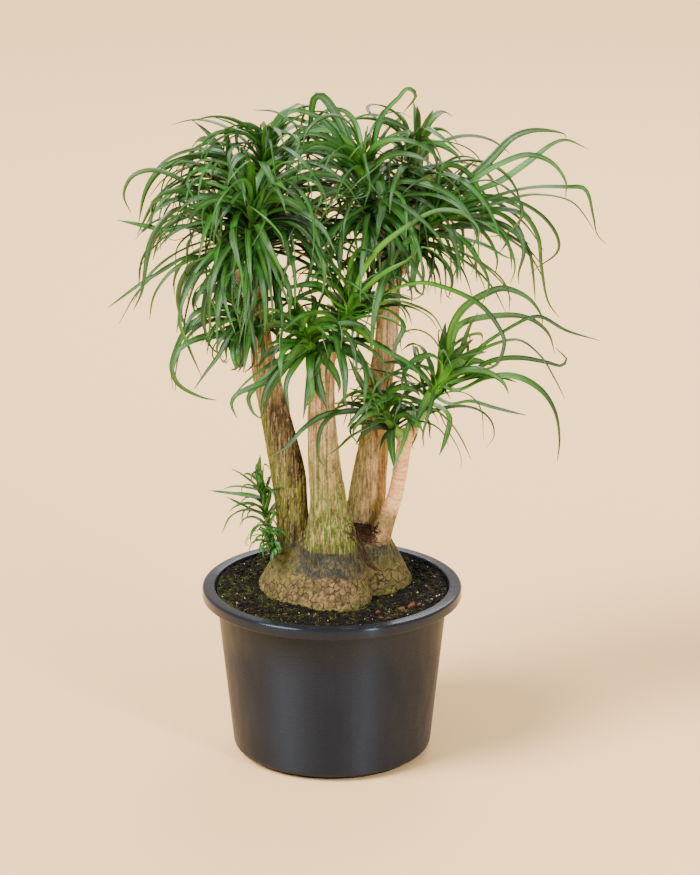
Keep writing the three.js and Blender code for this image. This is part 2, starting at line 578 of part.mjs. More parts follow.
// Knots of a leaf that is set out by hand, at its try-th depth
function handKnots(head, leaf, attempt) {
  const [tipDepth, width, ...flat] = leaf;
  const places = Array.from({ length: flat.length / 2 }, (_, i) => [flat[2 * i], flat[2 * i + 1]]);
  const spanU = head.tip[0] - head.foot[0];
  const spanV = head.tip[1] - head.foot[1];
  const nearest = ((places[0][0] - head.foot[0]) * spanU + (places[0][1] - head.foot[1]) * spanV)
    / (spanU * spanU + spanV * spanV);
  const share = THREE.MathUtils.clamp(nearest, CORE_LOW, CORE_HIGH);
  const root = head.foot.map((value, i) => lerp(value, head.tip[i], share));
  const caught = Math.hypot(places[0][0] - root[0], places[0][1] - root[1]) < ROOT_CATCH;
  const row = [[root[0], root[1]], ...(caught ? places.slice(1) : places)];
  const lengths = [0];
  for (let i = 1; i < row.length; i += 1) {
    lengths.push(lengths[i - 1] + Math.hypot(row[i][0] - row[i - 1][0], row[i][1] - row[i - 1][1]));
  }
  const total = lengths.at(-1);
  const knots = row.map(([across, up], i) => {
    const way = Math.pow(lengths[i] / total, EARLY_DEPTH);
    return seen([across, up, root[2] + (tipDepth + TRY_DEPTHS[attempt]) * way]);
  });
  return { knots, width };
}

// Knots of the index-th leaf of the spiral, at its try-th turn; draws holds its six random numbers
function ruleKnots(head, index, draws, attempt) {
  const { count, length, rise, fall } = head.rule;
  const age = (index + 0.5) / count;
  const [foot, tip] = [seen(head.foot), seen(head.tip)];
  const share = lerp(CORE_LOW, CORE_HIGH, age);
  const root = foot.clone().lerp(tip, share);
  const start = index * GOLDEN_ANGLE + head.stem + radians(TRY_TURNS[attempt]);
  const azimuth = start + (draws[0] - 0.5) * TURN_SPREAD;
  const startPitch = radians(lerp(rise[0], rise[1], age) + (draws[1] - 0.5) * RISE_SPREAD);
  const endPitch = radians(lerp(fall[0], fall[1], age) + (draws[2] - 0.5) * FALL_SPREAD);
  const reach = length * lerp(OLD_REACH, YOUNG_REACH, age) * (LEAST_REACH + REACH_SPREAD * draws[3]);
  const drift = (draws[4] - 0.5) * DRIFT_SPREAD;
  const steps = length > LONG_RULE ? LONG_STEPS : SHORT_STEPS;
  const knots = [root];
  for (let i = 0; i < steps; i += 1) {
    const way = (i + 0.5) / steps;
    const pitch = lerp(startPitch, endPitch, Math.pow(way, LATE_BEND));
    const heading = azimuth + drift * way;
    const step = new THREE.Vector3(
      Math.cos(pitch) * Math.cos(heading), Math.cos(pitch) * Math.sin(heading), Math.sin(pitch));
    knots.push(knots[i].clone().addScaledVector(step, reach / steps));
  }
  const fullWidth = RULE_WIDTH * Math.min(1, length / SLIM_BELOW);
  return { knots, width: fullWidth * (LEAST_WIDTH + WIDTH_SPREAD * draws[5]) };
}

// Blade round its knots, grown by extra on all sides
function blade({ knots, width }, twist, axis, extra) {
  const rows = frames(knots, axis);
  const lengths = [0];
  for (let i = 1; i < knots.length; i += 1) lengths.push(lengths[i - 1] + knots[i].distanceTo(knots[i - 1]));
  const rings = rows.map(({ point, along, up }, i) => {
    const way = lengths[i] / lengths.at(-1);
    if (i === rows.length - 1) return [point.clone().addScaledVector(along, extra)];
    const upper = up.clone().applyAxisAngle(along, twist * way);
    const side = along.clone().cross(upper);
    const broad = width * Math.min(1, BLADE_FOOT + BLADE_WIDENING * way) * Math.pow(1 - way, BLADE_TAPER);
    const half = broad / 2 + extra;
    const keel = BLADE_KEEL + BLADE_KEEL_PER_WIDTH * broad + extra;
    return [
      point.clone().addScaledVector(side, -half).addScaledVector(upper, extra),
      point.clone().addScaledVector(upper, -keel),
      point.clone().addScaledVector(side, half).addScaledVector(upper, extra),
    ];
  });
  return loft(rings);
}

// Boxes round the stretches between knots, for a quick look at what a blade may touch
function stretches(knots, margin) {
  return knots.slice(1).map((knot, i) => new THREE.Box3().setFromPoints([knots[i], knot])
    .expandByScalar(margin));
}

function mayTouch(boxes, others) {
  return boxes.some((box) => others.some((other) => box.intersectsBox(other)));
}

// All heads: every leaf is joined to its own core, clear of all other nodes
function makeHeads(fixed) {
  const heads = HEADS.map((head, order) => {
    const geometry = makeCore(head);
    geometry.computeBoundingBox();
    const axis = seen(head.tip).sub(seen(head.foot)).normalize();
    const core = solid(geometry);
    return { ...head, order, axis, core, coreBox: geometry.boundingBox, draw: makeDraw(977 * order + 31) };
  });
  const placed = heads.map(({ order, core, coreBox }) => ({ order, body: core, boxes: [coreBox] }));
  const bodies = heads.map(({ core }) => core);
  const place = (head, make) => {
    const twist = (head.draw() - 0.5) * BLADE_TWIST;
    for (let attempt = 0; attempt < TRY_DEPTHS.length; attempt += 1) {
      const leaf = make(attempt);
      const boxes = stretches(leaf.knots, leaf.width / 2 + 1);
      const probe = solid(blade(leaf, twist, head.axis, BLADE_CLEARANCE));
      const hits = (body) => probe.intersect(body).numTri() > 0;
      const touched = fixed.some(hits) || placed.some((other) => other.order !== head.order
        && mayTouch(boxes, other.boxes) && hits(other.body));
      if (touched) continue;
      const body = solid(blade(leaf, twist, head.axis, 0));
      const joined = bodies[head.order].add(body);
      if (hasSliver(joined)) continue;
      placed.push({ order: head.order, body, boxes });
      bodies[head.order] = joined;
      return;
    }
  };
  heads.forEach((head) => head.leaves.forEach((leaf) => {
    place(head, (attempt) => handKnots(head, leaf, attempt));
  }));
  heads.forEach((head) => {
    for (let index = 0; index < head.rule.count; index += 1) {
      const draws = Array.from({ length: 6 }, head.draw);
      place(head, (attempt) => ruleKnots(head, index, draws, attempt));
    }
  });
  return bodies;
}

function material(colour, roughness) {
  return new THREE.MeshStandardMaterial({ color: colour, roughness, metalness: 0 });
}

function named(name, geometry, finish) {
  const mesh = new THREE.Mesh(geometry, finish);
  mesh.name = name;
  return mesh;
}

const potSolid = solid(makePot());
const soilSolid = makeSoil();
const trunkSolid = makeTrunk();
const headSolids = makeHeads([trunkSolid, soilSolid, potSolid]);

const leafGreen = 0x3f7a2c;
const plant = new THREE.Group();
plant.add(
  named('pot', mainBody(potSolid), material(0x3a3736, 0.45)),
  named('soil', mainBody(soilSolid), material(0x2a241d, 0.95)),
  named('trunk', mainBody(trunkSolid), material(0x9a8a62, 0.85)),
);
headSolids.forEach((body, order) => {
  plant.add(named(HEADS[order].name, mainBody(body), material(leafGreen, 0.5)));
});

export default plant;
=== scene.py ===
import itertools
import math
import random
from collections import namedtuple

import bpy
import numpy as np
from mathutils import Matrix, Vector, bvhtree, kdtree


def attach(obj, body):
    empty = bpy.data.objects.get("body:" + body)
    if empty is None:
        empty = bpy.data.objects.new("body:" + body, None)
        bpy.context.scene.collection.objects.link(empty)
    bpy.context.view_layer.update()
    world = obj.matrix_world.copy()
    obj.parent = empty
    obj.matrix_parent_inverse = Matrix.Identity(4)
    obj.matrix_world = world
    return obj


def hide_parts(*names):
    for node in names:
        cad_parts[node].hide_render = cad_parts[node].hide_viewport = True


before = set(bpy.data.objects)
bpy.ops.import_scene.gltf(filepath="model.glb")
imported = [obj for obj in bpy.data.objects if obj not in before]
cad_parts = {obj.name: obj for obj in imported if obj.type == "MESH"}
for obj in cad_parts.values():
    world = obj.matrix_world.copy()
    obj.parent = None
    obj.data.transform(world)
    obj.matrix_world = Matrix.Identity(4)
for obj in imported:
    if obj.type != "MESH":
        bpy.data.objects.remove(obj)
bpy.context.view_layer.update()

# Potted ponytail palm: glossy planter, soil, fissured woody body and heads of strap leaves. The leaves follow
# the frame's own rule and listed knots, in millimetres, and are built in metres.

MM = 0.001
BODY = "root"

# Camera, as the photograph was taken
EYE = np.array([27.8, -7028.0, 2885.8])
CAMERA_PITCH = 18.7
CAMERA_LENS = 200.0
CAMERA_SENSOR = 36.0

# Pot
RIM_RADIUS = 200.0
RIM_TOP = 269.0
RIM_BAND = 17.0
RIM_ROUND = 4.5
LIP_RADIUS = 181.0
LEDGE_DROP = 4.0
WALL_TOP_RADIUS = 178.0
WALL_FOOT_RADIUS = 153.0
WALL_FOOT_HEIGHT = 21.0
WALL = 3.6
CORNER = 14.0
FOOT_RADIUS = 136.0
FOOT_HEIGHT = 5.5
FLOOR = 9.0
FOOT_BEVEL = 0.8
BAND_ROUND = 1.8
LIP_ROUND = 2.0
POT_SIDES = 160

# Curves through knots
SPLINE_STEPS = 12
LEAST_STRIDE = 0.01
LEAST_STATIONS = 6

# Soil and swollen base
GAP = 0.35
SOIL_TOP = 259.0
SOIL_DISH = [(177.8, 263.5), (162, 262.5), (144, 260.5), (126, 259), (0, 259)]
SOIL_HEAVE = 1.4
SOIL_SIDES = 300
SOIL_ROWS = 80
SOIL_INNER = 40
BASE_CENTRE = (0.0, 10.0)
BASE_AT_SOIL = [
    117, 128, 130, 124, 118, 111, 105, 101, 98, 101, 109, 115, 113, 109, 105, 100, 97, 101, 108, 108, 99, 87,
    73, 98]
BASE_AT_TRUNKS = [
    92, 94, 94, 92, 88, 77, 66, 60, 56, 59, 64, 72, 78, 75, 70, 66, 64, 71, 78, 74, 66, 61, 57, 72]
BASE_FLARE = 6.0
BASE_SHOULDER = 336.0
BASE_TOP = 350.0
BASE_CAP = 359.0
BASE_BOTTOM = 196.0
BASE_LEVELS = [
    (BASE_BOTTOM, 0.5), (214, 0.8), (SOIL_TOP, 1), (314, 1), (BASE_SHOULDER, 0.98), (BASE_TOP, 0.82),
    (BASE_CAP, 0.5)]
BASE_SPACING = 6.0

# Trunks: across, up, depth and radius from inside the base to the top
TRUNKS = [
    [(-54, 300, 4, 30), (-57, 350, 5, 26), (-60.5, 400, 6, 25), (-65.5, 450, 7, 26.5), (-76, 500, 8, 24.5),
     (-88, 555, 10, 22), (-99.5, 605, 12, 20.5), (-107, 660, 14, 17), (-112, 735, 15, 14)],
    [(-1, 300, -26, 42), (-1, 335, -27, 40), (-2.5, 352, -28, 38), (-5.5, 375, -28, 32.5),
     (-6, 400, -28, 28.5), (-11.5, 449, -29, 25.5), (-15, 500, -31, 23), (-17, 545, -33, 21),
     (-14, 600, -36, 17.5), (-9, 645, -40, 14)],
    [(46, 340, 52, 36), (48, 375, 54, 31), (51, 400, 55, 29), (56, 449, 56, 26), (63, 500, 57, 23),
     (66.5, 545, 57, 20.5), (74, 605, 57, 19), (82.5, 668, 56, 17.5), (87, 748, 55, 16.5),
     (88, 770, 55, 14)],
    [(66, 320, 14, 24), (73, 347, 14, 19), (86, 382, 12, 14), (96.5, 411, 10, 12), (104, 449, 7, 11.2),
     (111.5, 500, 3, 11.5), (114, 518, 0, 12)],
]

# Leaf heads: start of the branch, foot and tip of the core (each across, up and depth), radius of the core,
# spiral of the leaves set by rule, and the leaves listed one by one. Such a leaf gives the depth of its tip,
# its width, and then across and up of its knots from root to tip
Spiral = namedtuple("Spiral", "count length rise fall")
Head = namedtuple("Head", "name start foot tip stem rule leaves")
HEADS = [
    Head("head_a", (-112, 722, 14), (-117, 795, -20), (-119, 872, -46), 10,
         Spiral(12, 215, (20, 78), (-75, -25)), [
        (-70, 11, -119, 848, -108, 877, -98, 913, -75, 941, -48, 941, -43, 933, -51, 925),
        (-40, 11, -117, 848, -103, 877, -87, 902, -58, 920, -44, 920),
        (-80, 12, -101, 852, -79, 857, -60, 857, -39, 850, -24, 838, -10, 816, 7, 776),
        (-50, 12, -103, 843, -82, 848, -63, 841, -46, 825, -30, 802, -10, 763, -2, 748),
        (-90, 15, -112, 839, -110, 820, -109, 793, -112, 770, -117, 730),
        (-75, 12, -114, 820, -101, 804, -88, 788, -64, 761)]),
    Head("head_b", (-112, 722, 14), (-143, 778, 4), (-178, 850, 0), 10,
         Spiral(10, 210, (15, 75), (-80, -30)), [
        (-20, 12, -159, 837, -178, 864, -193, 886, -219, 911, -265, 930, -298, 921, -312, 891, -301, 863),
        (-60, 14, -170, 840, -188, 855, -230, 870, -256, 848, -274, 814, -281, 775, -287, 739, -300, 710),
        (20, 11, -185, 846, -230, 842, -248, 837, -284, 844, -322, 852),
        (-60, 12, -204, 841, -213, 823, -219, 798, -217, 775),
        (-30, 11, -170, 800, -191, 796, -224, 793, -252, 775, -283, 756, -318, 730, -339, 714),
        (-70, 11, -168, 810, -206, 779, -219, 754, -229, 709, -230, 690, -216, 649, -198, 605),
        (-40, 11, -177, 793, -207, 754, -221, 709, -229, 661, -244, 621, -242, 584),
        (-60, 11, -175, 775, -197, 743, -209, 712)]),
    Head("head_c", (-112, 722, 14), (-106, 868, 24), (-98, 958, 34), 10,
         Spiral(14, 230, (20, 75), (-75, -35)), [
        (-30, 11, -98, 969, -108, 991, -120, 1000, -134, 1001, -142, 984, -136, 945),
        (0, 10, -98, 960, -104, 985, -125, 999, -150, 988, -168, 968),
        (-30, 10, -98, 960, -108, 984, -153, 991, -187, 979, -199, 957),
        (-60, 11, -98, 955, -112, 972, -149, 971, -184, 963, -196, 950),
        (-45, 11, -119, 882, -151, 915, -191, 938, -229, 943, -250, 918, -256, 890, -247, 865)]),
    Head("head_m", (-112, 725, 16), (-131, 838, 40), (-152, 925, 50), 9.5,
         Spiral(12, 230, (20, 75), (-80, -35)), [
        (-20, 11, -136, 934, -157, 948, -179, 955, -218, 948, -258, 929, -279, 897, -290, 848),
        (20, 11, -159, 918, -196, 929, -233, 916, -266, 880, -293, 828),
        (-40, 11, -154, 898, -185, 923, -204, 940, -216, 918, -228, 890, -229, 877),
        (-60, 11, -138, 882, -157, 899, -191, 902, -209, 894, -226, 859, -248, 827, -265, 817)]),
    Head("head_k", (-112, 722, 16), (-104, 790, 58), (-100, 862, 92), 9.5,
         Spiral(17, 255, (10, 75), (-85, -35)), []),
    Head("head_l", (-106, 640, 12), (-121, 674, -12), (-137, 716, -28), 9,
         Spiral(7, 150, (10, 70), (-80, -30)), [
        (-40, 11, -145, 714, -176, 717, -208, 705, -225, 676),
        (-30, 11, -147, 705, -190, 701, -218, 683, -239, 639, -243, 616, -233, 592, -196, 571, -174, 567),
        (20, 11, -130, 687, -173, 696, -204, 683, -229, 650, -238, 612, -238, 581),
        (-60, 11, -123, 667, -166, 671, -204, 665, -231, 647, -243, 606),
        (-70, 11, -124, 712, -151, 680, -170, 641, -191, 612, -210, 584),
        (-50, 10, -143, 694, -154, 661, -144, 639, -127, 648)]),
    Head("head_h", (-12, 622, -38), (-24, 640, -60), (-44, 668, -98), 10,
         Spiral(8, 130, (0, 70), (-70, -10)), [
        (-10, 10, -33, 680, -41, 705, -52, 723, -60, 734),
        (-40, 10, -41, 659, -72, 663, -102, 654),
        (-40, 11, -45, 649, -78, 619, -102, 579, -109, 537),
        (-60, 11, -43, 647, -65, 606, -70, 586, -64, 548),
        (-50, 12, -36, 647, -34, 597, -41, 553, -44, 537),
        (-60, 12, -27, 647, -19, 597, -7, 550),
        (-40, 11, -26, 639, -29, 612, -17, 566),
        (-35, 11, -20, 654, 0, 619, 12, 590, 10, 578),
        (-20, 11, -50, 652, -72, 625, -100, 597, -126, 586, -146, 575, -153, 561, -144, 537),
        (-30, 10, -60, 640, -97, 606, -118, 586, -127, 570, -116, 542, -104, 538),
        (-10, 10, -50, 640, -72, 615, -92, 584, -108, 537)]),
    Head("head_g", (-9, 630, -39), (3, 652, -46), (30, 716, -60), 11,
         Spiral(11, 165, (25, 80), (-55, 10)), [
        (-10, 10, 6, 676, 13, 709, 18, 738, 28, 775),
        (-70, 11, 26, 705, 42, 760, 66, 802, 104, 836, 159, 867, 199, 861, 222, 834, 204, 797),
        (-50, 11, 35, 723, 70, 763, 118, 793, 135, 811, 155, 803, 184, 773),
        (-90, 11, 45, 709, 80, 738, 132, 754, 175, 745, 226, 718, 256, 678, 262, 658, 248, 622, 204, 615),
        (-60, 14, 52, 712, 91, 728, 115, 723, 154, 703, 172, 669),
        (-70, 12, 44, 705, 78, 713, 105, 696, 109, 683, 96, 652, 89, 630),
        (-55, 14, 42, 678, 70, 654, 119, 625, 148, 591),
        (-20, 10, 6, 716, -3, 736, -17, 743, -55, 729, -104, 698),
        (-30, 10, 4, 725, -15, 751, -34, 754, -69, 747)]),
    Head("head_d", (88, 758, 55), (64, 848, 34), (44, 930, 14), 10.5,
         Spiral(14, 235, (15, 78), (-80, -30)), [
        (30, 13, 45, 902, 18, 995, 6, 1018, -14, 1044, -24, 1043, -32, 995, -37, 963),
        (-30, 12, 49, 902, 35, 934, 9, 984, -23, 1014, -54, 1022, -66, 1016, -73, 999),
        (10, 11, 20, 940, -6, 965, -34, 986, -68, 1012, -85, 1021, -116, 1023),
        (40, 15, 60, 956, 69, 1000, 83, 1025, 100, 1042, 112, 1056, 122, 1053, 126, 1044, 107, 1018),
        (-40, 11, 23, 993, 43, 1000, 61, 1009, 76, 1027, 86, 1023, 92, 1009, 97, 970, 102, 954),
        (50, 10, 60, 960, 76, 1007, 95, 1003, 119, 988, 131, 968),
        (-70, 15, 69, 918, 76, 891, 76, 868, 71, 847, 68, 820)]),
    Head("head_e", (88, 758, 55), (120, 802, 34), (160, 862, 14), 10.5,
         Spiral(9, 215, (5, 75), (-80, -30)), [
        (20, 12, 147, 832, 193, 899, 239, 947, 273, 982, 307, 992, 350, 985, 352, 980),
        (50, 10, 215, 897, 251, 912, 295, 943, 333, 972, 351, 977, 385, 962),
        (-30, 10, 215, 916, 255, 941, 295, 954, 331, 941, 352, 910, 351, 887),
        (-10, 11, 223, 882, 294, 903, 354, 904, 380, 901, 394, 857, 400, 830, 414, 814),
        (-50, 10, 244, 878, 304, 893, 360, 882, 385, 853, 395, 835),
        (-60, 10, 190, 900, 231, 916, 255, 908, 284, 880, 287, 859, 265, 832, 232, 825),
        (-40, 11, 224, 861, 248, 864, 279, 841, 290, 805, 282, 767, 283, 752),
        (10, 11, 167, 841, 224, 852, 266, 841, 297, 805, 303, 778, 308, 725),
        (-30, 13, 200, 866, 250, 870, 288, 861, 311, 826, 317, 778, 328, 723, 345, 698),
        (30, 10, 230, 885, 278, 882, 321, 855, 342, 820, 340, 801, 306, 774, 298, 765),
        (-80, 13, 180, 834, 192, 820, 198, 799, 195, 782),
        (-60, 11, 190, 830, 220, 792, 238, 752, 228, 720),
        (-30, 11, 190, 828, 232, 813, 265, 794, 283, 791),
        (-75, 10, 205, 850, 244, 845, 265, 822, 253, 801),
        (-20, 13, 156, 882, 158, 912, 159, 941, 145, 970, 134, 945, 140, 912),
        (0, 10, 160, 905, 168, 933, 186, 937, 213, 916, 225, 878, 224, 853)]),
    Head("head_f", (88, 760, 56), (106, 868, 72), (128, 960, 84), 10,
         Spiral(15, 235, (10, 72), (-80, -40)), [
        (-20, 11, 102, 957, 128, 971, 162, 970, 188, 953, 197, 939)]),
    Head("head_p", (88, 756, 56), (96, 800, 98), (112, 858, 138), 9.5,
         Spiral(17, 250, (5, 72), (-85, -35)), []),
    Head("head_i", (113, 508, 2), (127, 528, -4), (168, 600, -16), 9,
         Spiral(11, 165, (15, 78), (-60, 5)), [
        (30, 11, 175, 604, 180, 676, 200, 714, 236, 738, 260, 745, 298, 729, 318, 700, 319, 685),
        (10, 10, 193, 609, 223, 649, 265, 680, 301, 699, 317, 700, 356, 678, 407, 662),
        (-40, 10, 190, 610, 223, 645, 266, 663, 287, 663, 318, 638, 340, 600, 355, 569),
        (40, 10, 200, 602, 240, 629, 283, 635, 329, 627, 348, 622, 357, 631, 339, 651),
        (-30, 15, 190, 584, 236, 604, 281, 605, 320, 582, 341, 548, 348, 503, 345, 469),
        (-60, 10, 179, 562, 211, 566, 245, 556, 278, 547, 297, 543),
        (-70, 13, 174, 550, 180, 537, 172, 499, 164, 478),
        (-60, 12, 157, 595, 147, 573, 127, 526),
        (-50, 12, 165, 631, 146, 640, 116, 622, 104, 582),
        (20, 9, 175, 615, 193, 640, 210, 687, 222, 707),
        (60, 9, 178, 630, 192, 685, 254, 702, 298, 698, 328, 674, 339, 640)]),
    Head("head_j", (112, 500, 2), (103, 512, -14), (76, 550, -34), 8.5,
         Spiral(8, 120, (5, 75), (-65, -5)), [
        (-10, 10, 74, 542, 49, 588, 25, 636),
        (-60, 10, 81, 535, 27, 549, -17, 540, -47, 518, -67, 493, -92, 477),
        (-70, 10, 81, 535, 39, 552, 6, 546, -14, 527, -21, 499, -17, 466, -6, 459),
        (-50, 11, 76, 535, 53, 524, 27, 508, 7, 488, -11, 477),
        (-40, 10, 84, 520, 77, 500, 72, 484),
        (10, 10, 79, 546, 67, 590, 49, 631, 37, 655)]),
    Head("shoot_n", (-66, 318, 6), (-91, 334, 8), (-109, 432, 2), 5.2,
         Spiral(5, 75, (20, 75), (-40, 20)), [
        (-10, 10, -110, 436, -112, 455, -109, 479),
        (-20, 9, -110, 425, -140, 450, -154, 457),
        (-30, 8, -113, 422, -148, 429, -166, 424),
        (0, 9, -115, 409, -151, 417, -186, 421),
        (-30, 9, -105, 382, -146, 403, -161, 411),
        (-20, 9, -100, 379, -121, 390, -139, 390, -157, 379, -169, 352),
        (10, 8, -101, 415, -97, 436, -92, 449),
        (-15, 8, -93, 390, -92, 425)]),
    Head("shoot_o", (-66, 312, -16), (-89, 322, -24), (-101, 350, -30), 4.6,
         Spiral(7, 52, (10, 80), (-150, -60)), []),
]

# Leaf blades, as in the frame
GOLDEN_ANGLE = math.radians(137.50776)
LONG_RULE = 180
LONG_STEPS = 5
SHORT_STEPS = 4
RULE_WIDTH = 12
TURN_SPREAD = 0.5
DRIFT_SPREAD = 0.9
RISE_SPREAD = 24
FALL_SPREAD = 40
OLD_REACH = 1.08
YOUNG_REACH = 0.62
LEAST_REACH = 0.82
REACH_SPREAD = 0.36
LEAST_WIDTH = 0.75
WIDTH_SPREAD = 0.4
LATE_BEND = 1.15
EARLY_DEPTH = 0.85
RULE_DRAWS = 6
BLADE_TWIST = 1.3
ROOT_CATCH = 14
CORE_LOW = 0.22
CORE_HIGH = 0.92
TRY_DEPTHS = [0, 16, -16, 32, -32, 50, -50, 70, -70, 95, -95]
TRY_TURNS = [0, 9, -9, 18, -18, 27, -27, 38, -38, 50, -50]

# Finer leaves of the scene
BLADE_SPACING = 8.0
BLADE_THICKNESS = 0.75
TIP_THICKNESS = 0.35
WIDTH_THICKNESS = 0.12
BLADE_CHANNEL = 0.17
BLADE_SHAPE = ([0, 0.08, 0.4, 0.6, 0.75, 0.87, 0.95, 1], [0.84, 0.95, 1, 0.9, 0.68, 0.42, 0.22, 0.06])
BLADE_SWELL = 1.1
LEAST_HALF = 0.25
# Places round a blade: across from -1 to 1, rise of the channel, and how far below the upper side
BLADE_RING = [(-1, 1.0, 0), (-0.5, 0.3, 0), (0, 0, 0), (0.5, 0.3, 0), (1, 1.0, 0),
              (0.5, 0.3, 1), (0, 0, 1.2), (-0.5, 0.3, 1)]
WAVE_SIZE = 0.5
WAVE_STARTS = 6.3
WAVE_TURNS = 9
SHEATH_FLARE = 0.4
SHEATH_REACH = 16.0
TIP_MATCH = 0.2
SLIM_BELOW = 135.0
# How young the listed leaves look: only those of bright heads, and less than the hearts
HAND_YOUNG = 1.6
PLAIN_YOUNG = 0.8

# Core of a head: shares of its length and radius, its ribs, and its values for the leaf finish
CORE_SHAPE = [(0, 0.95), (0.12, 0.9), (0.3, 0.85), (0.55, 0.75), (0.8, 0.6), (1, 0.3)]
CORE_SIDES = 14
CORE_RIBS = 5
CORE_RIB_HEIGHT = 0.06
CORE_VALUES = {"along": 0.02, "across": 0.0, "under": 0.0, "tone": 0.3}
CORE_YOUNG = 0.4

# Long leaves that fill each head out. A pair gives the value of the oldest and of the youngest leaf, and the
# pair of a draw gives its least value and its spread
ARCH_STEPS = 9
ARCH_ROOT = (0.08, 1.0)
ARCH_TURN = 2.3
ARCH_TURN_SPREAD = 0.8
ARCH_RISE = (12, 84)
ARCH_RISE_BEND = 0.8
ARCH_RISE_SPREAD = 30
ARCH_FALL = (-86, -64)
ARCH_FALL_SPREAD = 64
ARCH_REACH = (1.08, 0.92)
ARCH_REACH_DRAW = (0.68, 0.46)
ARCH_BEND_DRAW = (0.8, 0.9)
ARCH_WIDTH_DRAW = (0.56, 0.5)
ARCH_TWIST = 1.6
CURL_POWER = 4
# How a leaf drifts and curls sideways, hooks under at its end, and its width
Manner = namedtuple("Manner", "drift curl hook hook_from width")
PLAIN = Manner(1.8, 4.4, 120, 0.45, 1)
WILD = Manner(2.6, 11, 190, 0.2, 0.6)
WILD_SHARE = 0.34
# How many there are in each head, and how many degrees they are lifted by
FILLING = {
    "head_a": (40, 0), "head_b": (10, 8), "head_c": (40, 0), "head_m": (12, 4), "head_k": (48, 2),
    "head_l": (18, 0), "head_h": (26, 4), "head_g": (26, 12), "head_d": (48, 2), "head_e": (20, 6),
    "head_f": (20, 4), "head_p": (42, -2), "head_i": (22, 14), "head_j": (24, 12), "shoot_n": (32, 14),
    "shoot_o": (44, 14),
}
# How much further the leaves of a shoot curl under, in degrees, and how short they stay
CURLED_SHOOT = {"shoot_o": (80, 0.66)}
# Those that hang towards the front, over the forks of the trunks: how many, and their share of the full
# length
FRONT_LEAVES = {
    "head_a": (26, 0.92), "head_l": (30, 0.85), "head_k": (8, 1.0), "head_d": (24, 0.66), "head_e": (30, 0.6),
    "head_g": (6, 0.8),
}
FRONT_HEADING = -90
FRONT_SPREAD = 130
FRONT_AGE = 0.35
FRONT_DROOP = 20
# Heads whose long leaves keep inside the outline of the canopy towards the front, across and up
CANOPY_HEADS = "abcmkldefp"
CANOPY = [
    (-228, 690), (-244, 727), (-259, 787), (-292, 834), (-322, 884), (-304, 930), (-256, 948), (-208, 962),
    (-176, 986), (-136, 1008), (-88, 1022), (-46, 1034), (-28, 1050), (0, 1052), (46, 1030), (78, 1036),
    (102, 1062), (132, 1054), (138, 1014), (180, 982), (210, 962), (252, 986), (296, 1002), (366, 996),
    (406, 914), (414, 812), (364, 698), (304, 692), (210, 710), (128, 728), (60, 716), (-40, 726), (-72, 654),
    (-106, 618), (-146, 606), (-190, 636), (-216, 664)]
CANOPY_TRIES = 12
LEAF_ROOM = np.array([[-338, -216, 266], [416, 306, 1044]])
# How far from the wood, and from which samples of it, a long leaf keeps
WOOD_CLEARANCE = 6
SAMPLE_SPACING = 12.0
BRANCH_SAMPLES = np.linspace(0, 0.9, 8)

# Young leaves in the middle of a head, how bright they are, and how they lean out and rise at each step
BRIGHT_HEARTS = {"head_g": 1.0, "head_i": 1.0, "head_h": 0.75, "head_j": 0.7, "head_e": 0.6, "head_d": 0.5}
PLAIN_HEART = 0.3
HEART_LEAVES = 7
HEART_ROOT = 0.75
HEART_LEAN_DRAW = (0.2, 0.6)
HEART_REACH_DRAW = (0.2, 0.26)
HEART_WIDTH_DRAW = (0.55, 0.3)
HEART_COURSE = [(0.6 + 0.9 * i, 0.5 - 0.28 * i) for i in range(4)]
HEART_TWIST = 0.6
BRIGHT_REACH = 0.7
BRIGHT_WIDTH = 0.4


def srgb(red, green, blue):
    """Linear colour of an sRGB colour given from 0 to 255."""
    def linear(value):
        value /= 255
        return value / 12.92 if value <= 0.04045 else ((value + 0.055) / 1.055) ** 2.4
    return np.array([linear(red), linear(green), linear(blue)])


def mix(a, b, share):
    return a + (b - a) * share


def step_between(low, high, value):
    """Smooth step from 0 at low to 1 at high."""
    share = np.clip((value - low) / (high - low), 0, 1)
    return share * share * (3 - 2 * share)


def seen(across, up, depth):
    """Place that shows at across and up on the plane through the pot's middle, at its own depth."""
    reach = 1 + depth / -EYE[1]
    return np.array([EYE[0] + (across - EYE[0]) * reach, depth, EYE[2] + (up - EYE[2]) * reach])


def make_draw(seed):
    """Source of seeded random numbers from 0 to 1, the same as in the frame."""
    state = seed

    def draw():
        nonlocal state
        state = (state * 1664525 + 1013904223) % 2**32
        return state / 2**32
    return draw


def swing(draw, width):
    """Random number between minus and plus half a width."""
    return (draw() - 0.5) * width


def grown(draw, least, more):
    """Random number between least and least plus more."""
    return least + more * draw()


# Noise on arrays of points

def lattice(cell, seed):
    """Fixed random number from 0 to 1 for each whole-numbered cell."""
    grid = cell.astype(np.int64).astype(np.uint32)
    mixed = grid[:, 0] * np.uint32(374761393) + grid[:, 1] * np.uint32(668265263)
    mixed = mixed + grid[:, 2] * np.uint32(2246822519) + np.uint32(seed * 40503 + 12345)
    mixed = (mixed ^ (mixed >> np.uint32(13))) * np.uint32(1274126177)
    mixed = (mixed ^ (mixed >> np.uint32(15))) * np.uint32(2654435761)
    return (mixed ^ (mixed >> np.uint32(16))) / 2**32


def smooth_noise(points, seed):
    """Noise from -1 to 1 with bumps one unit wide."""
    cell = np.floor(points)
    inner = points - cell
    inner = inner * inner * (3 - 2 * inner)
    total = np.zeros(len(points))
    for corner in np.ndindex(2, 2, 2):
        offset = np.array(corner)
        weight = np.prod(np.where(offset, inner, 1 - inner), axis=1)
        total += weight * lattice(cell + offset, seed)
    return total * 2 - 1


